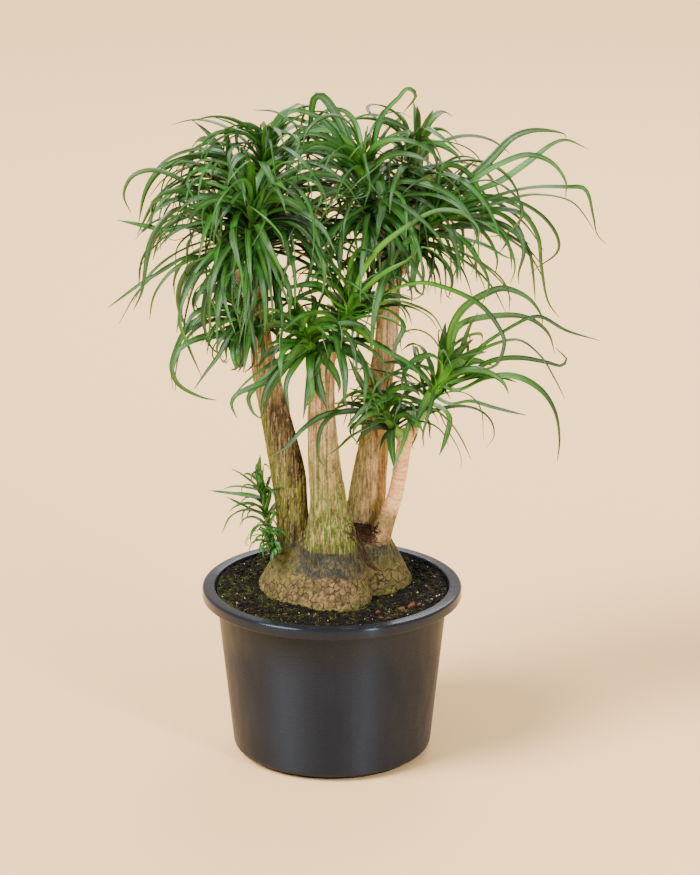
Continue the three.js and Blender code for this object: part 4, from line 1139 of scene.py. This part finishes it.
def paint_wood(points, normals):
    """Height of the bark's relief in millimetres, its colour, and how streaked and how cracked it is."""
    count = len(points)
    which = nearest_stem(points)
    x, y, z = points.T
    wander = np.stack([rough_noise(points / 26, seed, 2) for seed in (11, 23, 37)], axis=1)
    slow = rough_noise(points / 60, 51, 2)
    fine = rough_noise(points / 3.2, 61, 3)

    # Lower base: corky plates parted by fine cracks
    warped = points + wander * 5
    girth = np.arctan2(y - BASE_CENTRE[1], x - BASE_CENTRE[0]) * 100
    wrapped = np.stack([girth / 11, z / 14, np.full(count, 0.5)], axis=1) + wander * [0.8, 0.6, 0]
    edge, plate = plates(wrapped, 3, 0.92)
    edge = edge + 0.16 * step_between(0.12, 0.5, rough_noise(points / 8, 43, 2))
    crack = 1 - step_between(0.03, 0.12, edge)
    relief = 0.4 * (plate - 0.5) - 0.6 * crack + 0.6 * fine
    paint = tint(srgb(80, 64, 40), srgb(132, 110, 74), step_between(-0.6, 0.7, plate - 0.5 + fine))
    paint = tint(paint, srgb(104, 100, 46), 0.55 * step_between(-0.25, 0.4, slow + 0.3 * fine))
    paint = tint(paint, srgb(38, 34, 20), 0.25 * crack)
    paint = tint(paint, srgb(118, 126, 44), 0.5 * (1 - step_between(*MOSS_LINE, z + 5 * wander[:, 1])))

    # Band under the trunks: dark grey skin with upright scratches
    stria = rough_noise(points * [1 / 3.2, 1 / 3.2, 1 / 24], 71, 3)
    scratch = 1 - step_between(0.0, 0.1, np.abs(rough_noise(points * [1 / 7, 1 / 7, 1 / 24], 77, 2)))
    left_flank = step_between(-0.1, 0.7, -normals[:, 0]) * step_between(*FLANK_FOOT, z)
    paint = tint(paint, srgb(122, 118, 50), 0.7 * scratch * left_flank)
    paint = tint(paint, srgb(62, 62, 44), 0.5 * left_flank * step_between(-0.1, 0.4, stria))
    band_relief = 0.5 * stria + 0.4 * fine - 0.4 * scratch
    band_paint = tint(srgb(34, 37, 33), srgb(60, 60, 48), step_between(-0.5, 0.6, 0.5 * stria + fine))
    band_paint = tint(band_paint, srgb(92, 90, 42), 0.7 * step_between(0.0, 0.4, slow + 0.5 * stria))
    band_paint = tint(band_paint, srgb(126, 114, 60), 0.35 * scratch)

    # Old wood: long upright fissures, broad and fine
    drawn = warped * [1 / 8.5, 1 / 8.5, 1 / 62]
    broad_fissure = 1 - step_between(0.02, 0.12, np.abs(rough_noise(drawn, 91, 2)))
    fine_fissure = 1 - step_between(0.01, 0.12, np.abs(rough_noise(drawn * [2.1, 2.1, 2.0], 97, 2)))
    deep = step_between(-0.35, 0.35, slow + 0.6 * wander[:, 1])
    cut = np.maximum(broad_fissure * (0.5 + 0.5 * deep), 0.7 * fine_fissure)
    streak = rough_noise(points * [1 / 2.6, 1 / 2.6, 1 / 34], 83, 3)
    old_relief = 0.9 * streak + 0.3 * fine - 2.2 * cut * (0.4 + 0.6 * deep)
    mild_relief = 0.8 * streak + 0.3 * fine - 0.9 * cut
    weathered = step_between(-0.38, 0.42, streak + 0.4 * fine)
    algae = step_between(-0.3, 0.5, slow + 0.5 * streak + 0.4 * wander[:, 0])
    # Green algae on the side facing the key lamp, and painted light there: the dark cork is painted lighter
    # on that side
    algae_and_lit_side = step_between(-0.2, 0.8, -normals[:, 0] + 0.5 * slow)
    low_algae = (1 - step_between(*ALGAE_TOP, z + 60 * slow)) * step_between(-0.3, 0.02, streak + 0.2 * slow)
    green_foot = (1 - step_between(*GREEN_FOOT, z + 30 * slow)) * step_between(-0.3, 0.05, stria)

    cork_paint = tint(srgb(54, 46, 26), srgb(112, 98, 60), weathered)
    # The dark cork gets painted light and green algae on the side facing the key lamp
    cork_paint = tint(cork_paint, srgb(114, 120, 44), 0.8 * np.maximum(0.8 * algae, algae_and_lit_side))
    cork_paint = tint(cork_paint, srgb(44, 34, 20), 0.62 * cut)
    right_paint = tint(srgb(164, 138, 96), srgb(222, 192, 146), weathered)
    right_paint = tint(right_paint, srgb(150, 150, 70), 0.6 * np.maximum(algae, algae_and_lit_side))
    right_paint = tint(right_paint, srgb(70, 54, 34), 0.6 * cut)
    front_paint = tint(srgb(146, 128, 82), srgb(230, 206, 158), weathered)
    front_paint = tint(front_paint, srgb(84, 108, 26), 0.94 * low_algae)
    front_paint = tint(front_paint, srgb(62, 88, 20), 0.72 * green_foot)
    front_paint = tint(front_paint, srgb(74, 66, 36), 0.5 * cut)

    # Younger wood above: pale tan with grey-brown fissures
    tan_paint = tint(srgb(182, 150, 112), srgb(228, 198, 158), weathered)
    tan_paint = tint(tan_paint, srgb(140, 134, 82), 0.35 * algae)
    tan_paint = tint(tan_paint, srgb(88, 66, 46), 0.6 * cut)

    # Thin stem: smooth skin with fine rings
    ring = rough_noise(np.stack([x / 20, y / 20, (z + 0.15 * x) / 1.9], axis=1), 131, 2)
    ring_relief = 0.3 * ring + 0.2 * fine
    ring_paint = tint(srgb(232, 164, 112), srgb(255, 214, 162), step_between(-0.5, 0.5, ring + 0.3 * fine))
    low_skin = tint(srgb(124, 96, 62), srgb(168, 140, 100), step_between(-0.4, 0.4, streak + 0.5 * fine))
    low_skin = tint(low_skin, srgb(104, 112, 48), 0.5 * step_between(-0.1, 0.4, slow + streak))
    ring_paint = tint(low_skin, ring_paint, step_between(*RINGS_FOOT, z + 10 * fine + 6 * wander[:, 0]))

    upright, cracked = np.zeros(count), np.ones(count)

    def lay(share, height, colour, streaked=1.0):
        nonlocal relief, paint, upright, cracked
        relief = mix(relief, height, share)
        paint = tint(paint, colour, share)
        upright = mix(upright, streaked, share)
        cracked = cracked * (1 - share)

    # From the base upwards, each kind of bark over the one below
    ragged = z + 9 * wander[:, 0] + 5 * fine
    lay(step_between(*BAND_FOOT, ragged), band_relief, band_paint, 0.12)
    above = step_between(*TRUNK_FOOT, ragged)
    lay(above * (which == LEFT), old_relief, cork_paint)
    lay(above * (which == RIGHT_BACK), mild_relief, right_paint, 0.8)
    lay(step_between(*FRONT_FOOT, z + 2 * fine) * (which == FRONT), mild_relief, front_paint)
    lay(above * (which == THIN), ring_relief, ring_paint, 0.12)
    lay(above * (which == BRANCH), mild_relief, tan_paint, 0.6)
    young_from = np.array(YOUNG_FROM)[which]
    lay(step_between(0, YOUNG_BLEND, ragged + 30 * slow - young_from), mild_relief, tan_paint)
    hollow = step_between(0.45, 0.8, normals[:, 2] + 0.2 * fine) * step_between(*LITTER_FOOT, z)
    hollow *= 1 - step_between(*LITTER_TOP, z)
    litter_paint = tint(srgb(30, 24, 18), srgb(78, 60, 40), step_between(-0.4, 0.5, fine))
    lay(hollow, 1.2 * fine, litter_paint, 0.0)
    return relief, np.clip(paint * (1 + 0.2 * fine[:, None]), 0, 1), upright, cracked


def make_wood(finish, debris_finish):
    """The woody body in three pieces, with its debris."""
    points, normals, faces = joined_wood()
    relief, paint, upright, cracked = paint_wood(points, normals)
    points = points + normals * relief[:, None]
    make_debris(debris_finish, points, faces)
    level = np.array([points[list(face), 2].mean() for face in faces])
    for order, name in enumerate(("woody_base", "lower_trunks", "upper_trunks")):
        chosen = [faces[i] for i in np.flatnonzero(np.searchsorted(WOOD_PARTINGS, level) == order)]
        used = np.unique([corner for face in chosen for corner in face])
        renamed = {int(corner): i for i, corner in enumerate(used)}
        faces_here = [tuple(renamed[corner] for corner in face) for face in chosen]
        make_piece(name, points[used], faces_here, finish, nodes=["trunk"],
                   values={"paint": paint[used], "upright": upright[used], "cracked": cracked[used]})


# Soil and what lies on it

CRUMBS = 5200
LEAST_CRUMB = 1.6
CRUMB_SPREAD = 6.6
CRUMB_POWER = 3.0
CRUMB_SQUASH = 0.7
CRUMB_CLEAR = 1.0
FINE_CRUMB = 2.6
CRUMB_BROWNS = [srgb(7, 6, 5), srgb(10, 9, 6), srgb(16, 14, 10), srgb(36, 36, 18), srgb(84, 70, 48)]
# Number of the palest brown that a larger crumb may have
COARSE_PALEST = 2
SHADE_POWER = 1.3
PERLITE = 120
PERLITE_SIZES = (1.4, 3.0)
PERLITE_CLEAR = 3.0
GRAIN_SQUASH = 0.85
# Grains that show in the photograph, across and up, with the size of each clay grain
PERLITE_SPOTS = [(-51, 220), (-36, 220), (-26, 218), (14, 210), (-135, 296), (-114, 298)]
CLAY_GRAINS = [(71, 219, 13), (76, 209, 10), (108, 225, 12), (123, 227, 14), (135, 230, 10)]
LUMP_STRETCH = [(0.7, 1.3), (0.6, 1.0), (0.6, 1.1)]
LUMP_RAGGED = (0.8, 1.15)
LUMP_LIFT = 0.18
LONGEST_EDGE = 2.1
# Share of the soil's area, from its middle outwards, where loose matter may lie
OPEN_SHARES = (0.2, 0.985)
TUFTS = 1300
TUFT_LIMITS = (-0.12, 0.35)
TUFT_LEAFLETS = 8
TUFT_CLEAR = 0.5
TUFT_SPREAD = 1.1
TUFT_SUNK = 0.4
LEAFLET_LEAN = (0.3, 1.6)
LEAFLET_HEIGHT = (1.6, 3.4)
LEAFLET_HALF = 0.42
LEAFLET_FACES = [(0, 2, 1), (0, 1, 3), (1, 2, 3), (2, 0, 3)]
THREAD_SIDES = 5
THREAD_KNOTS = 6
THREAD_END = 0.35
FIBRES = 520
FIBRE_STEPS = (2.0, 4.5)
FIBRE_LIFT = 1.2
FIBRE_RADII = (0.25, 0.5)
FIBRE_CLEAR = 4.0
FIBRE_BEND = 0.5
FIBRE_JITTER = 0.2
FIBRE_BROWNS = [srgb(88, 66, 42), srgb(52, 42, 26), srgb(124, 106, 62), srgb(84, 90, 34), srgb(106, 108, 44)]
DEBRIS = 190
DEBRIS_ACROSS = (31, 66)
DEBRIS_UP = (337, 366)
DEBRIS_JUMP = 7.0
DEBRIS_STEP = (2.6, 2.2)
DEBRIS_BEND = 0.4
DEBRIS_RADII = (0.4, 0.9)
DEBRIS_POWER = 1.6
ROOT_JUMP = 16.0
RED_ROOT = [(36, 356), (41, 338), (47, 325), (50, 314), (56, 303), (66, 294), (74, 290)]
RED_STRANDS = (-4.5, -3, -1.5, 0, 1.5, 3, 4.5)
RED_SPACING = 5.0
RED_JITTER = 1.3
RED_RADII = (0.8, 1.9)


def soil_height(x, y):
    """Height of the lumpy soil at places across the pot."""
    heave = np.sin(x / 17 + 1.3) * np.cos(y / 21) + 0.6 * np.sin(x / 9 - y / 13)
    dish = np.array(SOIL_DISH[::-1])
    level = np.interp(np.hypot(x, y), dish[:, 0], dish[:, 1])
    place = np.stack([x, y, np.zeros_like(x)], axis=1)
    lumpy = 2.2 * rough_noise(place / 11, 5, 3) + 2.0 * rough_noise(place / 5, 15, 2)
    return level + SOIL_HEAVE * heave + lumpy


def greenness(points):
    """How green the soil is: in slow patches, and more so towards the left."""
    return rough_noise(points / 34, 27, 3) - points[:, 0] / 700


def soil_paint(points):
    """Colour of the soil: near black with brown grain and green patches."""
    green = greenness(points)
    grain = rough_noise(points / 2.2, 33, 2)
    colour = tint(srgb(7, 6, 4), srgb(24, 21, 14), step_between(-0.5, 0.6, grain))
    return tint(colour, srgb(58, 66, 24), 0.6 * step_between(0.05, 0.45, green + 0.25 * grain))


def make_soil(finish):
    """Bed of soil, closed along the pot's wall and floor."""
    foot_wall = WALL_FOOT_RADIUS - WALL - GAP
    outline = [(foot_wall - CORNER, FLOOR + GAP), (foot_wall, WALL_FOOT_HEIGHT + FLOOR / 2),
               (WALL_TOP_RADIUS - WALL - GAP, RIM_TOP - RIM_BAND - LEDGE_DROP)]
    rows = [round_row(radius, z, SOIL_SIDES) for radius, z in outline]
    for radius in np.linspace(SOIL_DISH[0][0], SOIL_INNER, SOIL_ROWS):
        row = round_row(radius, 0, SOIL_SIDES)
        row[:, 2] = soil_height(row[:, 0], row[:, 1])
        rows.append(row)
    points, faces = turned_body(rows, FLOOR + GAP, SOIL_TOP)
    make_piece("soil_bed", points, faces, finish, nodes=["soil"],
               values={"paint": soil_paint(points)})


def ball():
    """Corners and faces of a twenty-sided ball of radius 1."""
    golden = (1 + 5 ** 0.5) / 2
    corners = [(s, t * golden, 0) for s in (-1, 1) for t in (-1, 1)]
    corners = np.array(corners + [(0, a, b) for a, b, _ in corners] + [(b, 0, a) for a, b, _ in corners])
    faces = []
    for a, b, c in itertools.combinations(range(len(corners)), 3):
        lengths = [np.linalg.norm(corners[i] - corners[j]) for i, j in ((a, b), (b, c), (a, c))]
        if max(lengths) < LONGEST_EDGE:
            outward = np.dot(np.cross(corners[b] - corners[a], corners[c] - corners[a]), corners[a])
            faces.append((a, b, c) if outward > 0 else (a, c, b))
    return corners / np.hypot(1, golden), np.array(faces)


def open_soil(rng, clear):
    """Random place on the soil that is clear of the woody base."""
    while True:
        radius = SOIL_DISH[0][0] * math.sqrt(rng.uniform(*OPEN_SHARES))
        angle = rng.uniform(0, 2 * math.pi)
        x, y = radius * math.cos(angle), radius * math.sin(angle)
        base_x, base_y = x - BASE_CENTRE[0], y - BASE_CENTRE[1]
        toward = np.array([math.atan2(base_y, base_x)])
        if math.hypot(base_x, base_y) > base_radius(toward, 0.0)[0] + clear:
            return x, y


def lumps(name, places, sizes, colours, rng, finish, squash=CRUMB_SQUASH):
    """One piece of many small angular lumps."""
    corners, faces = ball()
    points, all_faces, paint = [], [], []
    heights = soil_height(*np.array(places).T)
    for (x, y), z, size, colour in zip(places, heights, sizes, colours):
        turn = np.linalg.qr(np.array([[rng.gauss(0, 1) for _ in range(3)] for _ in range(3)]))[0]
        stretch = np.array([rng.uniform(*limits) for limits in LUMP_STRETCH])
        ragged = np.array([rng.uniform(*LUMP_RAGGED) for _ in corners])[:, None]
        lump = (corners * ragged * stretch) @ turn * size / 2 * [1, 1, squash]
        all_faces.append(faces[:, ::-1 if np.linalg.det(turn) < 0 else 1] + len(corners) * len(points))
        points.append(lump + [x, y, z + size * LUMP_LIFT])
        paint.append(np.tile(colour, (len(corners), 1)))
    make_piece(name, np.vstack(points), np.vstack(all_faces).tolist(), finish, smooth=False,
               values={"paint": np.vstack(paint)})


def crumb_colour(size, rng):
    """Mostly a dark brown; only the finest crumbs may be pale."""
    palest = len(CRUMB_BROWNS) - 1 if size < FINE_CRUMB else COARSE_PALEST
    return CRUMB_BROWNS[min(palest, int(len(CRUMB_BROWNS) * rng.random() ** SHADE_POWER))]


def make_litter(crumb_finish, pale_finish, moss_finish):
    """Everything that lies loose on the soil."""
    rng = random.Random(41)
    places = [open_soil(rng, CRUMB_CLEAR) for _ in range(CRUMBS)]
    sizes = [LEAST_CRUMB + CRUMB_SPREAD * rng.random() ** CRUMB_POWER for _ in places]
    colours = [crumb_colour(size, rng) for size in sizes]
    lumps("soil_crumbs", places, sizes, colours, rng, crumb_finish)
    places = [ground_place(across, up) for across, up in PERLITE_SPOTS]
    places += [open_soil(rng, PERLITE_CLEAR) for _ in range(PERLITE)]
    sizes = [PERLITE_SIZES[1]] * len(PERLITE_SPOTS) + [rng.uniform(*PERLITE_SIZES) for _ in range(PERLITE)]
    lumps("perlite", places, sizes, [srgb(226, 220, 205)] * len(places), rng, pale_finish, GRAIN_SQUASH)
    places = [ground_place(across, up) for across, up, _ in CLAY_GRAINS]
    sizes = [size for _, _, size in CLAY_GRAINS]
    lumps("clay_grains", places, sizes, [srgb(108, 64, 46)] * len(places), rng, crumb_finish, GRAIN_SQUASH)
    make_moss(rng, moss_finish)
    make_fibres(rng, crumb_finish)


def thread(path, radius):
    """Points and faces of a thin tapering root or fibre along a path."""
    angles = -np.arange(THREAD_SIDES) / THREAD_SIDES * 2 * math.pi
    ups = carried_ups(path, (0.2, 0.3, 1))
    sides = np.cross(directions(path), ups)
    thin = np.linspace(1, THREAD_END, len(path))
    rows = [centre + radius * share * (np.cos(angles)[:, None] * side + np.sin(angles)[:, None] * up)
            for centre, side, up, share in zip(path, sides, ups, thin)]
    return np.concatenate(rows), tube_faces(len(path), THREAD_SIDES)


def threads_piece(name, paths, radii, colours, finish):
    """One piece of many roots or fibres."""
    points, faces, paint = [], [], []
    for path, radius, colour in zip(paths, radii, colours):
        made, sides = thread(np.array(path), radius)
        faces += numbered_on(points, sides)
        points.append(made)
        paint.append(np.tile(colour, (len(made), 1)))
    make_piece(name, np.vstack(points), faces, finish, values={"paint": np.vstack(paint)})


def make_fibres(rng, finish):
    """Fine root fibres and bark shreds that lie on the soil."""
    paths = []
    for _ in range(FIBRES):
        x, y = open_soil(rng, FIBRE_CLEAR)
        heading, turn = rng.uniform(0, 2 * math.pi), rng.uniform(-FIBRE_BEND, FIBRE_BEND)
        step = rng.uniform(*FIBRE_STEPS)
        path = []
        for _ in range(THREAD_KNOTS):
            path.append([x, y, 0])
            heading += turn + rng.gauss(0, FIBRE_JITTER)
            x, y = x + step * math.cos(heading), y + step * math.sin(heading)
        path = np.array(path)
        path[:, 2] = soil_height(path[:, 0], path[:, 1]) + FIBRE_LIFT
        if np.hypot(path[:, 0], path[:, 1]).max() < SOIL_DISH[0][0] - 2:
            paths.append(path)
    radii = [rng.uniform(*FIBRE_RADII) for _ in paths]
    threads_piece("fibres", paths, radii, [rng.choice(FIBRE_BROWNS) for _ in paths], finish)


def make_debris(finish, points, faces):
    """Matted dark roots in the saddle behind the front trunk, and a reddish root down the base's front."""
    wood_tree = bvhtree.BVHTree.FromPolygons([tuple(point) for point in points], faces)

    def on_wood(across, up):
        toward = seen(across, up, 0) - EYE
        hit = wood_tree.ray_cast(Vector(EYE), Vector(unit(toward)))[0]
        return None if hit is None else np.array(hit)

    rng = random.Random(77)
    paths, radii, colours = [], [], []

    def lay_on(spots, radius, colour, jump=DEBRIS_JUMP):
        """Lays a root on the wood, unless it misses the wood or jumps from one trunk to another."""
        path = [on_wood(across, up) for across, up in spots]
        if any(place is None for place in path):
            return
        path = np.array(path)
        if np.linalg.norm(np.diff(path, axis=0), axis=1).max() < jump:
            paths.append(path + unit(EYE - path.mean(axis=0)) * radius)
            radii.append(radius)
            colours.append(colour)

    for _ in range(DEBRIS):
        across, up = rng.uniform(*DEBRIS_ACROSS), rng.uniform(*DEBRIS_UP)
        heading, turn = rng.uniform(0, 2 * math.pi), rng.gauss(0, DEBRIS_BEND)
        spots = []
        for _ in range(THREAD_KNOTS):
            spots.append((across, up))
            across += DEBRIS_STEP[0] * math.cos(heading)
            up += DEBRIS_STEP[1] * math.sin(heading)
            heading += turn
        lay_on(spots, rng.uniform(*DEBRIS_RADII),
               mix(srgb(24, 17, 12), srgb(96, 60, 40), rng.random() ** DEBRIS_POWER))
    for shift in RED_STRANDS:
        root, _, _ = spline(np.array(RED_ROOT) + [shift, 0], RED_SPACING)
        lay_on([(a + rng.gauss(0, RED_JITTER), b) for a, b in root], rng.uniform(*RED_RADII),
               mix(srgb(46, 30, 22), srgb(104, 70, 52), rng.random()), ROOT_JUMP)
    threads_piece("debris", paths, radii, colours, finish)


def ground_place(across, up):
    """Place on the soil that shows at across and up."""
    line = seen(across, up, 0) - EYE
    reach = (SOIL_TOP - EYE[2]) / line[2]
    return (EYE + line * reach)[:2]


def make_moss(rng, finish):
    """Tufts of tiny pointed leaflets, in patches on the soil."""
    points, faces, paint = [], [], []
    made = 0
    while made < TUFTS:
        x, y = open_soil(rng, TUFT_CLEAR)
        if greenness(np.array([[x, y, SOIL_TOP]]))[0] < rng.uniform(*TUFT_LIMITS):
            continue
        made += 1
        z = soil_height(np.array([x]), np.array([y]))[0]
        shade = mix(srgb(34, 44, 14), srgb(104, 116, 38), rng.random() ** SHADE_POWER)
        for _ in range(TUFT_LEAFLETS):
            heading = rng.uniform(0, 2 * math.pi)
            lean = rng.uniform(*LEAFLET_LEAN)
            tall = rng.uniform(*LEAFLET_HEIGHT)
            foot = np.array([x + rng.gauss(0, TUFT_SPREAD), y + rng.gauss(0, TUFT_SPREAD), z - TUFT_SUNK])
            outward = np.array([math.cos(heading), math.sin(heading), 0])
            across = np.array([-outward[1], outward[0], 0]) * LEAFLET_HALF
            peak = foot + outward * tall * lean * 0.5 + np.array([0, 0, tall])
            corners = [foot - across, foot + across, foot + outward * 0.5 + [0, 0, 0.1], peak]
            faces += [tuple(len(points) + corner for corner in face) for face in LEAFLET_FACES]
            points += corners
            paint += [shade] * len(corners)
    make_piece("moss", np.array(points), faces, finish, smooth=False,
               values={"paint": np.array(paint)})


# Pot

def arc(r, z, radius, start, stop, steps):
    """Places on an arc round a middle, from one angle to another in degrees."""
    angles = np.radians(np.linspace(start, stop, steps + 1))
    return [(r + radius * math.cos(angle), z + radius * math.sin(angle)) for angle in angles]


def make_pot(finish):
    """Planter, turned along its outline from the foot up the outside, over the rim and down to the floor."""
    band_foot = RIM_TOP - RIM_BAND
    outline = [(FOOT_RADIUS - FOOT_BEVEL, 0), (FOOT_RADIUS, FOOT_BEVEL), (FOOT_RADIUS, FOOT_HEIGHT)]
    outline += arc(WALL_FOOT_RADIUS - CORNER, FOOT_HEIGHT + CORNER, CORNER, -90, -5, 12)
    low, high = np.array(outline[-1]), np.array([WALL_TOP_RADIUS, band_foot])
    outline += [tuple(mix(low, high, share)) for share in (0.33, 0.66, 1)]
    outline += arc(RIM_RADIUS - BAND_ROUND, band_foot + BAND_ROUND, BAND_ROUND, -90, 0, 5)
    outline += arc(RIM_RADIUS - RIM_ROUND, RIM_TOP - RIM_ROUND, RIM_ROUND, 0, 90, 10)
    outline += arc(LIP_RADIUS + LIP_ROUND, RIM_TOP - LIP_ROUND, LIP_ROUND, 90, 180, 5)
    outline += [(WALL_TOP_RADIUS - WALL, band_foot - LEDGE_DROP),
                (WALL_FOOT_RADIUS - WALL, WALL_FOOT_HEIGHT + FLOOR / 2),
                (WALL_FOOT_RADIUS - WALL - CORNER, FLOOR)]
    points, faces = turned_body([round_row(radius, z, POT_SIDES) for radius, z in outline], 0, FLOOR)
    make_piece("planter", points, faces, finish, nodes=["pot"])


# Studio

GROUND_HALF = 60000.0
WORLD_COLOUR = (0.97, 0.85, 0.71, 1)
WORLD_STRENGTH = 0.88


def make_floor():
    """Plain floor under the planter."""
    half = GROUND_HALF
    floor = add_mesh("floor", [(-half, -half, 0), (half, -half, 0), (half, half, 0), (-half, half, 0)],
                     [(0, 1, 2, 3)])
    floor.data.materials.append(Finish("plain_floor", 0.9, 0.1).use(Base_Color=srgb(255, 216, 160)))
    return floor


def make_light(name, place, aim, width, height, power, colour):
    lamp = bpy.data.lights.new(name, "AREA")
    lamp.shape = "RECTANGLE"
    lamp.size = width
    lamp.size_y = height
    lamp.energy = power
    lamp.color = colour
    return place_light(name, lamp, place, aim)


def make_sun(name, place, spread, strength, colour):
    lamp = bpy.data.lights.new(name, "SUN")
    lamp.angle = math.radians(spread)
    lamp.energy = strength
    lamp.color = colour
    return place_light(name, lamp, place, (0, 0, 0))


def place_light(name, lamp, place, aim):
    """Lamp at a place that shines towards another, both in metres."""
    piece = add_object(name, lamp)
    piece.location = place
    piece.rotation_euler = (Vector(aim) - Vector(place)).to_track_quat("-Z", "Y").to_euler()
    return piece


def make_camera():
    """Camera that sees the plant as the photograph does."""
    lens = bpy.data.cameras.new("photo_camera")
    lens.lens = CAMERA_LENS
    lens.sensor_width = CAMERA_SENSOR
    camera = add_object("photo_camera", lens)
    camera.location = EYE * MM
    camera.rotation_euler = (math.radians(90 - CAMERA_PITCH), 0, 0)
    bpy.context.scene.camera = camera


def make_world():
    """Even warm light from all sides."""
    world = bpy.data.worlds.new("studio")
    world.use_nodes = True
    backdrop = world.node_tree.nodes["Background"]
    backdrop.inputs["Color"].default_value = WORLD_COLOUR
    backdrop.inputs["Strength"].default_value = WORLD_STRENGTH
    bpy.context.scene.world = world


make_camera()
make_world()
make_floor()
make_sun("key", (-2.9, -1.9, 3.6), 28, 6.2, (1.0, 0.93, 0.84))
make_light("front", (2.2, -3.1, 1.7), (0, 0, 0.3), 0.4, 2.2, 125, (1.0, 0.98, 0.96))
make_light("back", (0.6, 3.2, 3.0), (0, 0, 0.6), 2.0, 2.0, 90, (1.0, 0.96, 0.9))
make_pot(pot_finish())
make_soil(soil_finish())
make_litter(soil_finish("crumbs", 0.9), soil_finish("perlite", 0.8), soil_finish("moss", 0.75))
make_wood(bark_finish(), soil_finish("roots", 0.85))
leaf = leaf_finish()
wood = trunk_samples()
for order, head in enumerate(HEADS):
    make_head(order, head, leaf, wood)
